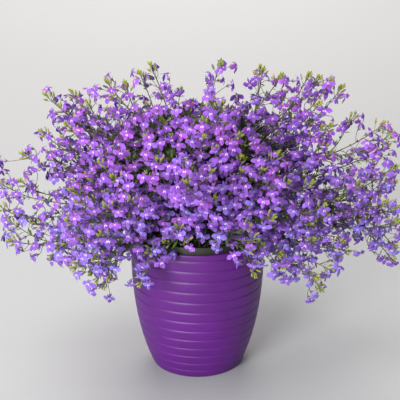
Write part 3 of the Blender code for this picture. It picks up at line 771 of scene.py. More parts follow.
def free_spot(point, room, margin):
    """True where a small part of the plant can be: in the box, off the pots, and not before the bare rim."""
    return in_box(point, margin) and over_pots(point, room) and not hides_rim(point, room)


def free_path(tip):
    """A stem from the soil to this tip, or None if it would run into a rim."""
    way = unit(tip - HEART)
    flat = unit(np.array([way[0], way[1], 0]) + 1e-9)
    low = way[2] < math.sin(math.radians(CROWN_ROOTED_ABOVE))
    ring = draw.uniform(34, 47) * MM if low else draw.uniform(4, 34) * MM
    root = HEART + flat * ring + np.array([draw.uniform(-9, 9) * MM, draw.uniform(-9, 9) * MM, 0])
    if math.hypot(root[0], root[1]) > 50 * MM:
        return None
    lean = math.hypot(way[0], way[1])
    rise = unit(flat * (0.9 if low else 0.55) * lean + UP * (1.3 if low else 1))
    hangs = tip[2] < 136 * MM
    last = unit(flat * 0.5 - UP * 0.8) if hangs else unit(flat * lean + UP * (0.55 + 0.5 * way[2]))
    length = np.linalg.norm(tip - root)
    bow = np.array([draw.uniform(-1, 1) for _ in range(3)]) * 9 * MM
    controls = [root, root + rise * length * (0.42 if low else 0.33), tip - last * length * 0.34 + bow, tip]
    path = smooth_path([bent(controls, i / 8) for i in range(9)], STATIONS)
    if not all(over_pots(p, 2 * MM) for p in path[2:]) or not free_spot(tip, 4 * MM, 4 * MM):
        return None
    return np.vstack([root - rise * 5 * MM, path])


def spread_ways(count, taken):
    """Directions in the widest gaps, denser to the front, where the light and the viewer are."""
    ways = [unit(np.array(t) - HEART) for t in taken]
    for _ in range(count):
        best, widest = None, -1.0
        for _ in range(40):
            azimuth, height = draw.uniform(0, 360), draw.uniform(-0.17, 0.98)
            elevation = math.degrees(math.asin(height))
            if elevation < lowest_elevation(azimuth) + (9 if azimuth > 180 else 4):
                continue
            way = np.array(direction(azimuth, elevation))
            gap = min(np.linalg.norm(way - w) for w in ways) * (1 - 0.2 * way[1])
            if gap > widest:
                best, widest = way, gap
        ways.append(best)
    return ways[-count:]


stems = []
for spray in sprays:
    line = [np.array(p) for p in spray["stem"]]
    if spray["rooted_in"] == "crown":
        line = [HEART + (line[0] - HEART) * np.array([0.25, 0.25, 0.1]), *line]
    stems.append({"group": spray["name"], "path": smooth_path(line, STATIONS), "shoot": False})
tips = [np.array(tip) * MM for tip in EDGE_TIPS]
for way in spread_ways(FILLING_STEMS, [s["stem"][-1] for s in sprays] + tips):
    tip = HEART + way * draw.uniform(0.6, 0.88) / np.linalg.norm(way / REACH)
    if tip[0] > 138 * MM and tip[2] > 165 * MM:  # the upper right is thin between the middle and the outer stems
        tip[0] = draw.uniform(112, 138) * MM
    tips.append(tip)
for k in range(INNER_STEMS + BACK_STEMS):
    back = k >= INNER_STEMS
    lift = (k - INNER_STEMS + 0.5) / BACK_STEMS if back else (k + 0.5) / INNER_STEMS
    azimuth = 95 + 170 * (k * 0.618 % 1) if back else -78 + 156 * (k * 0.618 % 1)
    way = np.array(direction(azimuth, 22 + 54 * lift))
    tips.append(HEART + way * (draw.uniform(0.54, 0.68) + 0.2 * lift) / np.linalg.norm(way / REACH))
tries = 0
for tip in tips + [np.array(tip) * MM for tip in LEFT_TIPS]:
    way = tip - HEART
    path = free_path(tip)
    while path is None and tries < 2000:
        tries += 1
        tip = HEART + (tip - HEART) * 0.98 + np.array([draw.uniform(-8, 8), draw.uniform(-8, 8), 3]) * MM
        path = free_path(tip)
    if path is not None:
        sector = int((math.atan2(way[1], way[0]) / math.tau % 1) * SECTORS)
        stems.append({"group": f"between_{sector + 1}", "path": path, "shoot": False})
print(len(stems), "stems, of which", len(sprays), "in the frame;", tries, "tries went astray")

# %% Side shoots
SHOOT_SHARE = 0.55
shoots = []
for stem in stems:
    for share in (draw.uniform(0.42, 0.58), draw.uniform(0.6, 0.78)):
        if draw.random() > SHOOT_SHARE:
            continue
        base, along = at_share(stem["path"], share)
        for _ in range(8):
            side = beside(along, draw.uniform(0, math.tau))
            out = unit(along + side * draw.uniform(0.45, 0.8))
            length = draw.uniform(30, 56) * MM
            tip = base + out * length * 0.7 + unit(out + UP * 0.9) * length * 0.3
            path = smooth_path([base, base + out * length * 0.4, tip], 10)
            if free_spot(tip, 4 * MM, 5 * MM) and all(over_pots(p, 4 * MM) for p in path):
                shoots.append({"group": stem["group"], "path": path, "shoot": True})
                break
stems += shoots
print(len(shoots), "side shoots")

# %% [markdown]
# ## Where the flowers hang
#
# Lobelia flowers sit one to a node up the stem, a golden angle apart, on stalks as thin as thread. The frame's
# flowers keep their places. More are added between them on every stem, and a new one is kept only where its
# face is far enough from the faces already there, as real flowers find the light.

# %% Place the flowers
FACE_GAP = 9.0 * MM  # least distance between the middles of two faces
FLOWER_STEP = 6.4 * MM
TUFT = 12 * MM  # the last length of a stem, which carries buds only
TO_LIGHT = np.array([-0.25, -0.93, 0.27])
taken = []
flowers = []


def hang(group, base, knee, facing, size=1.0):
    """Books a flower: where its stalk leaves the stem, where its tube starts, and which way it looks."""
    base, knee, facing = (np.array(v) for v in (base, knee, facing))
    taken.append(knee + facing * TUBE_LENGTH)
    flowers.append((group, base, knee, facing, size))


def thin_there(face):
    """True low in front and at the upper right, where the photograph shows shade between fewer flowers."""
    low_front = abs(face[0]) < 78 * MM and face[1] < -20 * MM and face[2] < 188 * MM
    return low_front or (140 * MM < face[0] < 168 * MM and face[2] > 165 * MM)


def try_to_hang(group, base, knee, facing, size=1.0):
    """Hangs a flower if its face has room, is in the box, and clears the pots."""
    face = knee + facing * TUBE_LENGTH
    if not in_box(face, 7.5 * MM) or not over_pots(face, 6.5 * MM) or not over_pots(knee, 2 * MM):
        return False
    if crown_room(Vector(face)) < -9 * MM:  # it would be hidden in the leafy heart
        return False
    if hides_rim(face, 13 * MM) and draw.random() > 0.3:
        return False
    if thin_there(face) and draw.random() > 0.27:
        return False
    if np.linalg.norm(np.array(taken) - face, axis=1).min() < FACE_GAP:
        return False
    hang(group, base, knee, facing, size)
    return True


def looks(way, knee):
    """Which way a flower looks: out, along its stalk and to the light in front, with some disorder."""
    out = unit(np.array([knee[0], knee[1], 0.0]))
    lit = 0.85 * min(1, max(0, 0.75 - out[1]))
    stray = np.array([draw.uniform(-0.92, 0.92) for _ in range(3)])
    return unit(out * 0.55 + way * 0.35 + TO_LIGHT * lit + UP * 0.1 + stray)


for spray in sprays:
    for flower in spray["flowers"]:
        hang(spray["name"], *flower)
for flower in crown_flowers:
    hang("crown", *flower)
for flower in crown_flowers:
    base, knee, facing = (np.array(v) for v in flower)
    for k in range(3):
        side = beside(facing, k * 2.1 + draw.uniform(-0.4, 0.4))
        other = knee + side * draw.uniform(9, 13) * MM - facing * draw.uniform(-2, 6) * MM
        try_to_hang("crown", base, other, looks(facing, other))
for stem in stems:
    length = path_length(stem["path"])
    spire = stem["path"][-1][2] > 285 * MM  # the topmost stems stand bare between their flowers
    share, k = 1 - TUFT * (0.7 if stem["shoot"] else 1.3 if spire else 1) / length, 0
    while share > (0.3 if stem["shoot"] else 0.42):
        base, along = at_share(stem["path"], share)
        for _ in range(5):
            turn = k * GOLDEN_ANGLE + draw.uniform(-0.5, 0.5)
            lean = math.radians(draw.uniform(32, 74))
            way = unit(along * math.cos(lean) + beside(along, turn) * math.sin(lean))
            knee = base + way * draw.uniform(7, 20) * MM
            k += 1
            if try_to_hang(stem["group"], base, knee, looks(way, knee), draw.uniform(0.78, 1.04)):
                break
        share -= FLOWER_STEP * draw.uniform(0.7, 1.3) * (1.5 if spire else 1) / length
print(len(flowers), "flowers in all")

# %% [markdown]
# ## Shapes as arrays
#
# Thousands of petals, buds and leaves are copies of a few small shapes. Linked copies would be lighter, but each
# flower here is turned, opened and coloured on its own, so the copies are real points, worked out together as
# arrays. A petal or a leaf is a thin closed blade: two skins over one grid that share their rim. Each point
# also keeps where it is on its blade, across and along, which the materials use for veins, eye and midrib.

# %% Blades, rods and batches
def blade(profile, columns, length, crown, thickness, arch, rounding=0.0):
    """A blade along +Y that faces +Z: its points, faces and places. profile is (share of length, half width),
    crown how far its middle line stands up, arch how far its tip bends back, rounding how far its end bulges."""
    share, half = np.array(profile).T[:, :, None]
    x = np.linspace(-1, 1, columns)
    bulge = 1 - x * x
    grid = (x * half, share * length + rounding * bulge * share**3, crown * bulge - arch * share**2)
    points = np.stack(np.broadcast_arrays(*grid), axis=2)
    places = np.stack(np.broadcast_arrays(x, share), axis=2)
    rows = len(profile)
    front = np.arange(rows * columns).reshape(rows, columns)
    back = front.copy()
    back[1:-1, 1:-1] = rows * columns + np.arange((rows - 2) * (columns - 2)).reshape(rows - 2, columns - 2)
    faces = []
    for i in range(rows - 1):
        for j in range(columns - 1):
            faces.append((front[i, j], front[i, j + 1], front[i + 1, j + 1], front[i + 1, j]))
            faces.append((back[i, j], back[i + 1, j], back[i + 1, j + 1], back[i, j + 1]))
    second = points[1:-1, 1:-1] - np.array([0, 0, thickness])
    return (np.vstack([points.reshape(-1, 3), second.reshape(-1, 3)]), faces,
            np.vstack([places.reshape(-1, 2), places[1:-1, 1:-1].reshape(-1, 2)]))


def tubes(paths, radii, sides):
    """Closed rods along paths (copies x stations x 3), with radii to match: points, faces and places."""
    copies, stations = paths.shape[:2]
    along = unit(np.gradient(paths, axis=1))
    chord = unit(paths[:, -1] - paths[:, 0])
    side = np.cross(chord, UP)
    steep = np.linalg.norm(side, axis=1) < 0.1
    side[steep] = np.cross(chord[steep], [1.0, 0, 0])
    side = unit(side[:, None] - (side[:, None] * along).sum(2, keepdims=True) * along)
    other = np.cross(along, side)
    turn = np.arange(sides) * math.tau / sides
    rings = (paths[:, :, None] + radii[:, :, None, None] * (
        side[:, :, None] * np.cos(turn)[:, None] + other[:, :, None] * np.sin(turn)[:, None]))
    points = np.concatenate([rings.reshape(copies, -1, 3), paths[:, :1], paths[:, -1:]], axis=1)
    faces = []
    end = stations * sides + 1
    for j in range(sides):
        n = (j + 1) % sides
        faces += [(end - 1, n, j), (end, (stations - 1) * sides + j, (stations - 1) * sides + n)]
        faces += [(k * sides + j, k * sides + n, (k + 1) * sides + n, (k + 1) * sides + j)
                  for k in range(stations - 1)]
    shares = np.repeat(np.linspace(0, 1, stations), sides)
    places = np.stack([np.tile(turn / math.tau, stations), shares], axis=1)
    return points, faces, np.vstack([places, (0, 0), (0, 1)])


def spikes(base, tip, width, side):
    """Thin three-sided spikes from base to tip, with side at right angles to them."""
    other = unit(np.cross(tip - base, side))
    corners = [base + (side * math.cos(turn) + other * math.sin(turn)) * width for turn in (0, 2.09, 4.19)]
    faces = [(0, 1, 3), (1, 2, 3), (2, 0, 3), (0, 2, 1)]
    return np.stack([*corners, tip], axis=1), faces, np.array([(0, 0.5)] * 4)


def ring_faces(points, each):
    """Faces of a closed body of points: the lowest one, rings of each points going up, and the highest one."""
    last = len(points) - 1
    faces = []
    for j in range(each):
        n = (j + 1) % each
        faces += [(0, 1 + n, 1 + j), (last, last - each + j, last - each + n)]
        faces += [(a + j, a + n, a + each + n, a + each + j) for a in range(1, last - each, each)]
    return faces


class Batch:
    """Copies of small shapes, gathered as arrays until they become one piece."""

    def __init__(self):
        self.points, self.places, self.tints, self.corners, self.sizes = [], [], [], [], []
        self.count = 0

    def add(self, points, faces, places, tints, kind=0.0):
        """points are copies x points x 3. places and tints are given for each point, each copy or both."""
        copies, each = points.shape[:2]
        corners = np.concatenate([np.array(face) for face in faces])
        self.points.append(points.reshape(-1, 3))
        self.corners.append((corners + self.count + each * np.arange(copies)[:, None]).ravel())
        self.sizes.append(np.tile([len(face) for face in faces], copies))
        place = np.zeros((copies, each, 3))
        place[..., :2] = places
        place[..., 2] = kind
        self.places.append(place.reshape(-1, 3))
        self.tints.append(np.broadcast_to(tints, (copies, each, 3)).reshape(-1, 3))
        self.count += copies * each

    def mesh(self, name):
        made = bpy.data.meshes.new(name)
        points, corners, sizes = (np.concatenate(rows) for rows in (self.points, self.corners, self.sizes))
        made.vertices.add(len(points))
        made.vertices.foreach_set("co", points.astype(np.float32).ravel())
        made.loops.add(len(corners))
        made.loops.foreach_set("vertex_index", corners.astype(np.int32))
        made.polygons.add(len(sizes))
        made.polygons.foreach_set("loop_start", (np.cumsum(sizes) - sizes).astype(np.int32))
        made.update(calc_edges=True)
        for label, rows in (("place", self.places), ("tint", self.tints)):
            values = np.ones((len(points), 4), np.float32)
            values[:, :3] = np.concatenate(rows)
            made.attributes.new(label, "FLOAT_COLOR", "POINT").data.foreach_set("color", values.ravel())
        return made


def set_out(points, origins, right, up, out, sizes):
    """Copies of points, each turned to its own right, up and out directions and scaled."""
    axes = np.stack([right, up, out], axis=2)
    return origins[:, None] + np.einsum("nij,nvj->nvi", axes, np.broadcast_to(
        points, (len(origins), *points.shape[-2:])) * sizes[:, None, None])


def sides_of(facing, roll):
    """Right and up directions for copies that look along facing, rolled by an angle."""
    right = np.cross(UP, facing)
    right[np.linalg.norm(right, axis=1) < 0.05] = [1.0, 0, 0]
    right = unit(right)
    up = np.cross(facing, right)
    cos, sin = np.cos(roll)[:, None], np.sin(roll)[:, None]
    return right * cos + up * sin, up * cos - right * sin


print("a petal blade has", 2 * len(blade([(0, 1)] * 4, 4, 1, 0, 1, 0)[1]), "triangles")

# %% [markdown]
# ## Petal tissue
#
# A petal is a few layers of living cells full of dyed sap, with air between them. It scatters light softly, lets
# a part of it through, and has a faint velvet edge where the outer cells stand up like pebbles. The sap holds
# blue and violet dye in shares that differ from flower to flower, so the colour comes with each copy. Each point
# also knows where it is on the face, in millimetres from the throat. From that the finish draws the veins, which
# fan out about 1 mm apart, and the white eye: two strokes below the throat, like an upturned V.

# %% Petal finish
VEIN_WAVES = 30  # in a full turn, so the veins are about 1 mm apart on the lobes


def told(tree, name):
    """The colour that each point carries under this name."""
    return add_node(tree, "Attribute", {}, attribute_name=name).outputs["Color"]


def petal_finish():
    made, tree, shader = new_finish("petal_tissue", 0.62, 1.4)
    tint, place = told(tree, "tint"), told(tree, "place")
    kind = add_node(tree, "SeparateColor", {"Color": place}).outputs["Blue"]
    from_throat = add_node(tree, "VectorMath", {0: place, 1: (20, 20, 0), 2: (-10, -10, 0)},
                           operation="MULTIPLY_ADD").outputs[0]  # mm
    x, y, _ = add_node(tree, "SeparateXYZ", {0: from_throat}).outputs
    far = add_node(tree, "VectorMath", {0: from_throat}, operation="LENGTH").outputs["Value"]
    waves = maths(tree, "SINE", maths(tree, "MULTIPLY", maths(tree, "ARCTAN2", y, x), VEIN_WAVES))
    dark = mixed(tree, 1, tint, linear("#9a86b8"), "MULTIPLY")
    veined = mixed(tree, span(tree, waves, 0.4, 1, 0, 0.45), tint, dark)
    cloud = ramp(tree, noise(tree, 3 * MM, 2), [(0.3, "#c9c3d8"), (0.7, "#ffffff")])
    clouded = mixed(tree, 0.75, veined, cloud, "MULTIPLY")
    edged = mixed(tree, span(tree, far, 4, 7.5, 0, 0.22), clouded, linear("#c39df0"))
    folded = add_node(tree, "CombineXYZ", {0: maths(tree, "ABSOLUTE", x), 1: y}).outputs[0]
    off = add_node(tree, "VectorMath", {0: folded, 1: (0.87, 0.49, 0)}, operation="DOT_PRODUCT").outputs["Value"]
    stroke = span(tree, maths(tree, "ABSOLUTE", off), 0.25, 0.65, 1, 0)
    eye = maths(tree, "MULTIPLY", stroke, span(tree, far, 2.4, 3.3, 1, 0))
    eye = maths(tree, "MULTIPLY", eye, maths(tree, "LESS_THAN", kind, 0.25))
    colour = mixed(tree, eye, edged, linear("#ece2ff"))
    fill(tree, shader, {"Base Color": colour, "Sheen Weight": 0.05,
                        "Normal": bumps(tree, noise(tree, 0.4 * MM, 2), 0.25, 0.05 * MM)})
    through = add_node(tree, "BsdfTranslucent", {"Color": colour})
    both = add_node(tree, "MixShader", {0: 0.3, 1: shader.outputs[0], 2: through.outputs[0]})
    fill(tree, tree.nodes["Material Output"], {"Surface": both.outputs[0]})
    return made


petal_tissue = petal_finish()
print("finish:", petal_tissue.name)

# %% [markdown]
# ## Leaf and stem skin
#
# Leaves, stems, calyces and buds have a thin waxy skin over green flesh. The wax gives a low soft gloss. Leaves
# show a pale midrib and a mottled blade, stems turn from green at the foot to a brownish violet near the
# flowers, and buds ripen from lime to violet. Those shades come with each copy, and this finish adds the
# midrib and the mottling of about 1.5 mm.

# %% Green finish
def green_finish():
    made, tree, shader = new_finish("waxy_leaf_and_stem_skin", 0.5, 1.43)
    place = add_node(tree, "SeparateColor", {"Color": told(tree, "place")}).outputs
    mottle = noise(tree, 1.5 * MM, 3)
    shade = ramp(tree, mottle, [(0.3, "#a9b09a"), (0.7, "#ffffff")])
    rib = span(tree, maths(tree, "ABSOLUTE", place["Red"]), 0.05, 0.22, 0.5, 0)
    rib = maths(tree, "MULTIPLY", rib, maths(tree, "GREATER_THAN", place["Blue"], 0.5))
    mottled = mixed(tree, 0.8, told(tree, "tint"), shade, "MULTIPLY")
    fill(tree, shader, {"Base Color": mixed(tree, rib, mottled, linear("#8fa05a")),
                        "Normal": bumps(tree, mottle, 0.3, 0.1 * MM)})
    return made


leaf_skin = green_finish()
print("finish:", leaf_skin.name)

# %% [markdown]
# ## The flower
#
# A lobelia flower has two lips. The lower one spreads into three broad lobes like a fan, the upper one into two
# small ears that bend back. Behind the face a slit tube, pale at the throat, runs back to a green calyx with five
# narrow sepals. Each part is drawn once in millimetres, looking along +Z. Two more arrays say how each
# point moves as a flower opens and as its side lobes droop, so no two copies need be alike.

# %% The flower's shape
LOBE = blade([(0, 1.1), (0.36, 2.1), (0.72, 2.85), (1, 1.7)], 4, 5.8, 0.5, 0.35, 0.9, rounding=1.1)
MIDDLE = blade([(0, 1.1), (0.4, 2.1), (0.74, 2.5), (1, 1.2)], 4, 6.1, 0.5, 0.35, 1.2, rounding=1.1)
EAR = blade([(0, 0.5), (0.6, 0.95), (1, 0.3)], 3, 4.1, 0.25, 0.3, 1.4, rounding=0.3)
petal_points, petal_faces, traits = np.zeros((0, 3)), [], []
for lobe, (part, angle, start, kind, swing) in enumerate((
        (LOBE, -14, 0.7, 0, -1), (LOBE, -166, 0.7, 0, 1), (MIDDLE, -90, 0.8, 0, 0),
        (EAR, 63, 0.9, 0.5, 1), (EAR, 117, 0.9, 0.5, -1))):
    points, faces, _ = part
    along = np.array([math.cos(math.radians(angle)), math.sin(math.radians(angle)), 0])
    sideways = np.array([along[1], -along[0], 0])
    petal_faces += [tuple(i + len(petal_points) for i in face) for face in faces]
    points = points[:, :1] * sideways + (points[:, 1:2] + start) * along + points[:, 2:] * UP
    petal_points = np.vstack([petal_points, points])
    traits += [(kind, swing, lobe)] * len(points)
petal_places = 0.5 + petal_points[:, :2] / 20  # kept between 0 and 1, as colours are
petal_kinds, petal_swings, petal_lobes = np.array(traits).T
petal_lobes = petal_lobes.astype(int)
petal_angles = np.arctan2(petal_points[:, 1], petal_points[:, 0])
from_middle = np.linalg.norm(petal_points[:, :2], axis=1)
OPENING = from_middle[:, None]**2 * np.array([0, 0, -0.055])  # a fully open flower bends its lobes back
DROOP = np.cross(UP, petal_points * [1, 1, 0]) * petal_swings[:, None]
width = float(np.ptp(petal_points[:, 0]))
print("a face is", round(width, 1), "mm wide and has", len(petal_faces) * 2, "triangles")

# %% Colours of the flowers
BLUE_VIOLET, VIOLET, RED_VIOLET, DEEP_VIOLET = (linear(c) for c in ("#9f8cf6", "#b06aec", "#c05cda", "#8644c2"))


def petal_tints(faces_at):
    """One colour for each flower: bluer low down and at the front, redder above, with strays of each."""
    n = len(faces_at)
    height = np.clip((faces_at[:, 2] - 0.12) / 0.16, 0, 1)
    blue = np.clip(0.9 - 1.1 * height + dice.normal(0, 0.28, n), 0, 1)[:, None]
    red = np.clip(dice.normal(0.25, 0.35, n), 0, 1)[:, None]
    deep = np.clip(dice.normal(0.1, 0.3, n), 0, 0.8)[:, None]
    colour = (VIOLET * (1 - red) + RED_VIOLET * red) * (1 - blue) + BLUE_VIOLET * blue
    return (colour * (1 - deep) + DEEP_VIOLET * deep) * dice.uniform(0.82, 1.12, (n, 1))


def add_flowers(petals, greens, rows):
    """The petals, tubes, calyces and stalks of these flowers."""
    base, knee, facing, size = (np.array(column) for column in list(zip(*rows))[1:])
    n = len(rows)
    right, up = sides_of(facing, dice.normal(0, 0.22, n))
    face = knee + facing * TUBE_LENGTH
    tint = petal_tints(face)
    opened = dice.normal(0.6, 0.75, (n, 5))[:, petal_lobes, None]
    shape = petal_points + opened * OPENING + dice.normal(0.0, 0.15, n)[:, None, None] * DROOP
    shape[..., 2] += dice.normal(0, 0.9, (n, 1)) * from_middle / 7 * np.sin(
        3 * petal_angles + dice.uniform(0, math.tau, (n, 1)))  # wavy, no two alike
    shape[..., :2] *= dice.uniform(0.84, 1.08, (n, 1, 2))
    where = set_out(shape, face, right, up, facing, size * MM)
    shades = np.where(petal_kinds[:, None] > 0.25, 0.72, 1.0)
    petals.add(where, petal_faces, petal_places, tint[:, None] * shades, kind=petal_kinds)
    # the tube: narrow at the calyx, wider and paler at the throat, its front drawn in to a hollow darkened to
    # 0.35 as painted shade
    line = knee[:, None] + facing[:, None] * (np.array([-0.3, 3.2, 6.8, 6.2])[:, None] * MM)
    tube, faces, places = tubes(line, np.array([0.7, 1.05, 1.5, 0.5]) * MM * size[:, None], 5)
    pale = tint[:, None] * 0.45 + linear("#e9def2") * 0.55
    petals.add(tube, faces, places, pale * np.where(places[:, 1:] > 0.75, 0.35, 1.0), kind=1.0)
    # the calyx and the stalk
    ripe = dice.uniform(0, 1, (n, 1))
    green = linear("#6f7d3c") * (1 - ripe) + linear("#5a4a52") * ripe
    line = knee[:, None] + facing[:, None] * (np.array([-2.0, 0.6])[:, None] * MM)
    greens.add(*tubes(line, np.tile(np.array([0.4, 1.1]) * MM, (n, 1)), 5), green[:, None])
    for k in range(5):
        turn = math.tau * k / 5 + dice.uniform(-0.3, 0.3, n)[:, None]
        radial = right * np.cos(turn) + up * np.sin(turn)
        along = unit(radial * 0.75 + facing * 0.75)
        foot = knee + radial * 0.7 * MM
        sepal = spikes(foot, foot + along * 3.4 * MM, 0.42 * MM, unit(np.cross(along, facing)))
        greens.add(*sepal, green[:, None])
    end = knee - facing * 2.0 * MM
    t = np.linspace(0, 1, 4)[:, None]
    bend = (knee - unit(knee - base) * 1.0 * MM - facing * 5 * MM)[:, None]
    line = base[:, None] * (1 - t) ** 2 + bend * 2 * t * (1 - t) + end[:, None] * t**2
    brown = linear("#6d7048") * (1 - ripe) + linear("#5b4257") * ripe
    greens.add(*tubes(line, np.full((n, 4), 0.34 * MM), 3), brown[:, None])


print("flower colours are ready")

# %% [markdown]
# ## Stems, leaves and buds
#
# A stem is a thin rod that tapers to its tip. Leaves are narrow and toothed, and get smaller up the stem, until
# they are only bracts under each flower's stalk. The tip carries a tuft of buds: the youngest are lime green
# clubs, and the oldest show the violet or peach of the petals inside. A few short hairs stand on the stems, as
# thin pyramids, thicker than life so that they show at all.

# %% Green parts
LEAF_BLADE = blade([(0, 0.14), (0.26, 0.66), (0.48, 1.0), (0.56, 0.82), (1, 0.06)], 3, 1.0, 0.0, 0.012, 0.16)
BRACT_BLADE = blade([(0, 0.3), (0.4, 1.0), (0.75, 0.7), (1, 0.06)], 3, 1.0, 0.0, 0.02, 0.12)
LEAF_GREENS = np.array([linear(c) for c in ("#3f5a2a", "#4c6a30", "#2e4423", "#5c7838")])
HAIRS = {False: 14, True: 5}  # by whether the stem is a side shoot
BUDS = {False: 8, True: 5}


def add_leaves(greens, shape, base, along, length, width, tint):
    """Leaves from arrays of where they start, point and how large they are. Their upper side looks up."""
    points, faces, places = shape
    n = len(base)
    sideways = unit(np.cross(along, unit(UP + dice.normal(0, 0.35, (n, 3)))))
    sized = points * np.stack([width / 2, length, length], axis=1)[:, None]
    sized[..., 2] += 0.25 * np.abs(sized[..., 0])  # folded a little along the midrib
    where = set_out(sized, base, sideways, along, np.cross(sideways, along), np.ones(n))
    greens.add(where, faces, places, tint[:, None], kind=1.0)


def leaf_tints(count, light=1.0):
    return LEAF_GREENS[dice.integers(0, len(LEAF_GREENS), count)] * dice.uniform(0.75, 1.2, (count, 1)) * light


def add_leaf(greens, base, tip):
    """One of the frame's leaves."""
    way = np.array(tip) - np.array(base)
    add_leaves(greens, LEAF_BLADE, np.array(base)[None], unit(way)[None], np.linalg.norm(way)[None],
               np.array([LEAF_WIDTH * 0.85]), leaf_tints(1))


def add_stem(greens, stem):
    """The stem's rod and hairs."""
    path, shoot = stem["path"], stem["shoot"]
    thick, thin = (0.55, 0.38) if shoot else (0.95, 0.5)
    points, faces, places = tubes(path[None], np.linspace(thick, thin, len(path))[None] * MM, 5)
    young = np.clip(places[:, 1:] * 1.1, 0, 1)
    foot, top = ("#61683a", "#7a8244") if shoot else ("#55652f", "#656349")
    greens.add(points, faces, places, linear(foot) * (1 - young) + linear(top) * young)
    shares = dice.uniform(0.2, 0.95, HAIRS[shoot])
    base, along = (np.array(rows) for rows in zip(*(at_share(path, s) for s in shares)))
    side = unit(np.cross(along, dice.normal(0, 1, (HAIRS[shoot], 3))))
    greens.add(*spikes(base, base + side * 2 * MM, 0.1 * MM, along), linear("#b9bd9a"))


def add_stem_leaves(greens, stem):
    """Leaves up the stem, smaller towards the tip."""
    path = stem["path"]
    shares = np.arange(0.1 if stem["shoot"] else 0.3, 0.93, 8.5 * MM / path_length(path))
    rows = []
    for k, share in enumerate(shares + dice.uniform(-0.015, 0.015, len(shares))):
        base, along = at_share(path, share)
        way = unit(along * dice.uniform(0.35, 0.8) + beside(along, k * GOLDEN_ANGLE + 1))
        long = (14 - 9.5 * share) * dice.uniform(0.8, 1.15) * MM
        if free_spot(base + way * long, 1.5 * MM, 2 * MM):
            rows.append((base, way, long))
    if rows:
        base, way, long = (np.array(column) for column in zip(*rows))
        add_leaves(greens, LEAF_BLADE, base, way, long, long * dice.uniform(0.24, 0.34, len(rows)),
                   leaf_tints(len(rows)))


def add_buds(greens, stem):
    """The tuft of buds at the tip, on short stalks, with bracts between them."""
    path = stem["path"]
    for k in range(BUDS[stem["shoot"]]):
        age = k / (BUDS[stem["shoot"]] - 1)
        base, along = at_share(path, 1 - age * 13 * MM / path_length(path))
        way = unit(along * (1.1 - 0.4 * age) + beside(along, k * GOLDEN_ANGLE) * (0.25 + 0.5 * age) + UP * 0.35)
        stalk = (0.8 + 6.0 * age) * MM * dice.uniform(0.8, 1.2)
        long = (3.8 + 3.0 * age) * MM * dice.uniform(0.85, 1.15)
        if not free_spot(base + way * (stalk + long), 1.5 * MM, 1.2 * MM):
            continue
        line = np.stack([base, base + way * stalk])[None]
        greens.add(*tubes(line, np.full((1, 2), 0.28 * MM), 3), linear("#7c8540"))
        line = (base + way * stalk + way * long * np.array([-0.05, 0.25, 0.65, 0.93])[:, None])[None]
        fat = (0.9 + 0.35 * age) * MM
        points, faces, places = tubes(line, np.array([[0.45, 1.0, 0.85, 0.3]]) * fat, 4)
        ripe = np.clip((places[:, 1:] - 0.45) * 3, 0, 1) * min(1.0, max(0.0, (age - 0.3) * 1.6))
        green = linear("#a6b23f") * (1 - age) + linear("#8a983f") * age
        petal = linear("#d3a59a") if dice.random() < 0.45 else linear("#8a5cc0")
        greens.add(points, faces, places, green * (1 - ripe) + petal * ripe)
    tip, along = at_share(path, 1)
    side = np.array([beside(along, k * GOLDEN_ANGLE) for k in range(4)])
    way = unit(along + side * dice.uniform(0.15, 0.7, (4, 1)))
    long = dice.uniform(3.0, 5.5, 4) * MM
    keep = np.array([in_box(tip + w * s, 1 * MM) for w, s in zip(way, long)])
    if keep.any():
        n = keep.sum()
        add_leaves(greens, BRACT_BLADE, np.tile(tip - along * 1.5 * MM, (n, 1)), way[keep], long[keep],
                   long[keep] * 0.3, np.tile(linear("#8c9b40"), (n, 1)))


# %% Grow every stem
batches = {}
for stem in stems:
    petals, greens = batches.setdefault(stem["group"], (Batch(), Batch()))
    add_stem(greens, stem)
    add_stem_leaves(greens, stem)
    add_buds(greens, stem)
batches["crown"] = (Batch(), Batch())
for group, (petals, greens) in batches.items():
    rows = [flower for flower in flowers if flower[0] == group]
    if not rows:
        continue
    add_flowers(petals, greens, rows)
    if group != "crown":
        base, knee = (np.array([row[i] for row in rows[::2]]) for i in (1, 2))
        way = unit(unit(knee - base) + dice.normal(0, 0.35, (len(base), 3)))
        long = dice.uniform(3.5, 7.5, len(base)) * MM
        add_leaves(greens, BRACT_BLADE, base, way, long, long * 0.26, leaf_tints(len(base), 1.3))
for spray in sprays:
    for leaf in spray["leaves"]:
        add_leaf(batches[spray["name"]][1], *leaf)
print("grown:", len(stems), "stems in", len(batches), "groups")

# %% [markdown]
# ## The leafy heart
#
# The middle of the plant is a thicket of stems and leaves that little light gets into. Behind the flowers it
# reads as near-black green. It is built as a crumpled body, smaller than the frame's core, coloured near-black as
# painted shade, with some fifteen hundred small leaves rooted all over it, which are darkened a little as painted
# shade too. Nothing but leaves and shadow shows of it from any side.

# %% Heart and its leaves
RINGS, ROUND = 34, 72
HEART_LEAVES = 1500


def heart_radius(height, turn):
    """Radius of the dark body at a height above the soil in mm, crumpled all round."""
    crumple = (0.11 * np.sin(5 * turn + height * 0.11) + 0.09 * np.sin(9 * turn - height * 0.19 + 2)
               + 0.07 * np.sin(14 * turn + height * 0.31 + 1))
    return np.interp(height, crown_heights, crown_radii) * 0.86 * (1 + crumple)


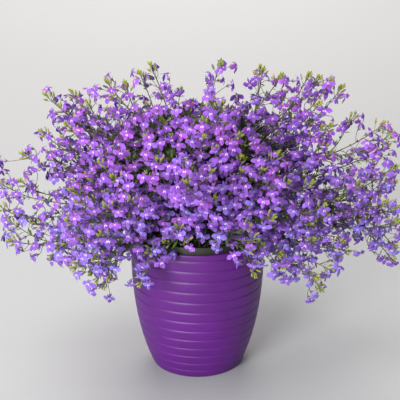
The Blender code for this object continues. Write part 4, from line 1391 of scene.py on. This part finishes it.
heart_points = [(0, 0, SOIL_TOP - 8 * MM)]
for height in np.linspace(-8, 118, RINGS):
    for turn in np.arange(ROUND) * math.tau / ROUND:
        r = heart_radius(height, turn) * (1 + dice.uniform(-0.05, 0.05)) * MM
        heart_points.append((r * math.cos(turn), r * math.sin(turn), SOIL_TOP + height * MM))
heart_points.append((0, 0, SOIL_TOP + 121 * MM))
heart = Batch()
# the body's near-black colour is painted shade, for the shade deep in the thicket of stems
heart.add(np.array(heart_points)[None], ring_faces(heart_points, ROUND), np.zeros(2), linear("#0a0e08"))
greens = batches["crown"][1]
index = (np.arange(HEART_LEAVES) + 0.5) / HEART_LEAVES
height = 6 + 114 * index**0.85
turn = np.arange(HEART_LEAVES) * GOLDEN_ANGLE + dice.normal(0, 0.2, HEART_LEAVES)
radius = heart_radius(height, turn) * MM
spot = np.stack([radius * np.cos(turn), radius * np.sin(turn), SOIL_TOP + height * MM], axis=1)
out = unit(spot - (HEART + UP * CROWN_HEART))
way = unit(out + dice.normal(0, 0.5, (HEART_LEAVES, 3)) + UP * 0.1)
long = dice.uniform(9, 16, HEART_LEAVES) * MM
start = spot - out * 2 * MM + out * dice.uniform(0, 9, (HEART_LEAVES, 1)) * MM
keep = np.array([free_spot(s + w * l, 2 * MM, 0) and over_pots(s, 1 * MM) for s, w, l in zip(start, way, long)])
# the heart's leaves are darkened to 0.8 as painted shade
add_leaves(greens, BRACT_BLADE, start[keep], way[keep], long[keep], long[keep] * 0.3,
           leaf_tints(keep.sum(), 0.8))
for leaf in crown_leaves:
    add_leaf(greens, *leaf)
add_piece("crown_heart_painted_shade", heart.mesh("crown_heart_painted_shade"), leaf_skin, "foliage", "crown", crease=80)
print("heart:", len(heart_points), "points and", keep.sum(), "leaves")

# %% Pieces of the plant
triangles = 0
for group, (petals, greens) in sorted(batches.items()):
    nodes = [] if group.startswith("between") else [group]
    for batch, part, finish, slot in ((petals, "flowers", petal_tissue, "bloom"),
                                      (greens, "greens", leaf_skin, "foliage")):
        if batch.count:
            name = f"{group}_{part}"
            piece = add_piece(name, batch.mesh(name), finish, slot, *nodes, crease=50)
            triangles += len(piece.data.loops) - 2 * len(piece.data.polygons)
print("plant:", triangles, "triangles")

# %% [markdown]
# ## Potting soil
#
# Peat, bark and perlite, dark and damp, in crumbs of 1 to 4 mm. The frame's soil is a smooth plug. Here its top
# is a heaved grid with crumbs pressed into it. It only shows from above, between the stems.

# %% Soil
CRUMBS = 420
SOIL_ROUND = 64
SOIL_RINGS = (0.94, 0.85, 0.74, 0.62, 0.5, 0.38, 0.25, 0.12)  # shares of the soil's radius


def soil_finish():
    made, tree, shader = new_finish("damp_peat_soil", 0.9, 1.5)
    crumbs = add_node(tree, "TexVoronoi", {"Vector": on_object(tree), "Scale": 1 / (2.5 * MM)}).outputs["Color"]
    fibre = noise(tree, 0.8 * MM, 5)
    tone = add_node(tree, "SeparateColor", {"Color": crumbs}).outputs["Red"]
    earth = ramp(tree, tone, [(0.0, "#1b1410"), (0.55, "#3a2a20"), (0.94, "#4d3a2c"), (0.97, "#cfc9bd")])
    rough = ramp(tree, fibre, [(0.3, "#8a8078"), (0.7, "#ffffff")])
    fill(tree, shader, {"Base Color": mixed(tree, 0.8, earth, rough, "MULTIPLY"),
                        "Normal": bumps(tree, fibre, 0.8, 0.6 * MM)})
    return made


def soil_radius(height):
    """Radius of the soil where it fills the nursery pot."""
    low = nursery_radius(nursery_floor) - NURSERY_WALL
    share = (height - nursery_floor) / (NURSERY_TOP - nursery_floor)
    return low + share * (NURSERY_RIM - 2 * NURSERY_WALL - low) - 1.5 * GAP


soil_floor = POT_FLOOR + 2 * GAP + NURSERY_WALL
top_radius = soil_radius(SOIL_TOP)
rings = [(soil_radius(soil_floor), soil_floor), (top_radius, SOIL_TOP)]
rings += [(top_radius * s, SOIL_TOP + SOIL_CROWNING * (1 - s)) for s in SOIL_RINGS]
soil_points = [(0, 0, soil_floor)]
for k, (r, h) in enumerate(rings):
    for turn in np.arange(SOIL_ROUND) * math.tau / SOIL_ROUND:
        lift = dice.uniform(-0.9, 0.9) * MM if k > 1 else 0
        soil_points.append((r * math.cos(turn), r * math.sin(turn), h + lift))
soil_points.append((0, 0, SOIL_TOP + SOIL_CROWNING))
soil = Batch()
soil.add(np.array(soil_points)[None], ring_faces(soil_points, SOIL_ROUND), np.zeros(2), linear("#3a2a20"))
crumb = bmesh.new()
bmesh.ops.create_icosphere(crumb, subdivisions=1, radius=1)
crumb_points = np.array([v.co for v in crumb.verts])
crumb_faces = [tuple(v.index for v in face.verts) for face in crumb.faces]
crumb.free()
turn, far = dice.uniform(0, math.tau, CRUMBS), np.sqrt(dice.uniform(0, 1, CRUMBS)) * 57 * MM
spot = np.stack([far * np.cos(turn), far * np.sin(turn), np.full(CRUMBS, SOIL_TOP + 1 * MM)], axis=1)
lumps = crumb_points * dice.uniform(0.6, 1.4, (CRUMBS, 1, 3)) * dice.uniform(0.6, 1.8, (CRUMBS, 1, 1)) * MM
soil.add(spot[:, None] + lumps, crumb_faces, np.zeros(2), linear("#3a2a20"))
add_piece("soil_fine", soil.mesh("soil_fine"), soil_finish(), "soil", "soil", crease=30)
print("soil:", CRUMBS, "crumbs")

# %% [markdown]
# ## Studio
#
# The object stands on a wide sheet of pale paper. A large soft lamp hangs over it, a little to the left, and a
# second one stands in front at the left, as high as a window. Together they throw a soft shadow to the right. A
# third lamp lights the paper behind, which is why the photograph gets paler towards its top. A pale room fills
# the shadows.

# %% Floor, lamps and room
HALF = 20.0  # half of the paper's side in m


def paper_finish():
    made, tree, shader = new_finish("matt_studio_paper", 0.8, 1.5)
    grain = noise(tree, 1.2 * MM, 3)
    fill(tree, shader, {"Base Color": ramp(tree, grain, [(0.2, "#9da0a4"), (0.8, "#a1a4a8")])})
    return made


def add_lamp(name, place, aim, size, power, colour):
    """A square soft lamp at place that looks at aim."""
    data = bpy.data.lights.new(name, "AREA")
    data.shape, data.size, data.energy = "SQUARE", size, power
    data.color = linear(colour)
    lamp = put(name, data)
    lamp.location = place
    lamp.rotation_euler = (Vector(aim) - Vector(place)).to_track_quat("-Z", "Y").to_euler()


floor_mesh = bpy.data.meshes.new("floor")
corners = [(-HALF, -HALF, 0), (HALF, -HALF, 0), (HALF, HALF, 0), (-HALF, HALF, 0)]
floor_mesh.from_pydata(corners, [], [(0, 1, 2, 3)])
floor_mesh.materials.append(paper_finish())
floor = put("floor", floor_mesh)
add_lamp("softbox", (-0.6, -0.4, 2.3), (0, 0, 0.2), 1.7, 42, "#fff8f0")
add_lamp("front", (-1.1, -2.15, 1.0), (0, 0, 0.2), 1.0, 92, "#fffaf6")
add_lamp("paper_lamp", (-0.1, 2.8, 2.3), (-0.1, 2.3, 0), 2.4, 128, "#fff8f0")
world = bpy.data.worlds.new("room")
world.use_nodes = True
fill(world.node_tree, world.node_tree.nodes["Background"], {"Color": linear("#f4f4f8"), "Strength": 0.32})
bpy.context.scene.world = world
bpy.context.scene.view_settings.view_transform = "Standard"
print("studio is lit")
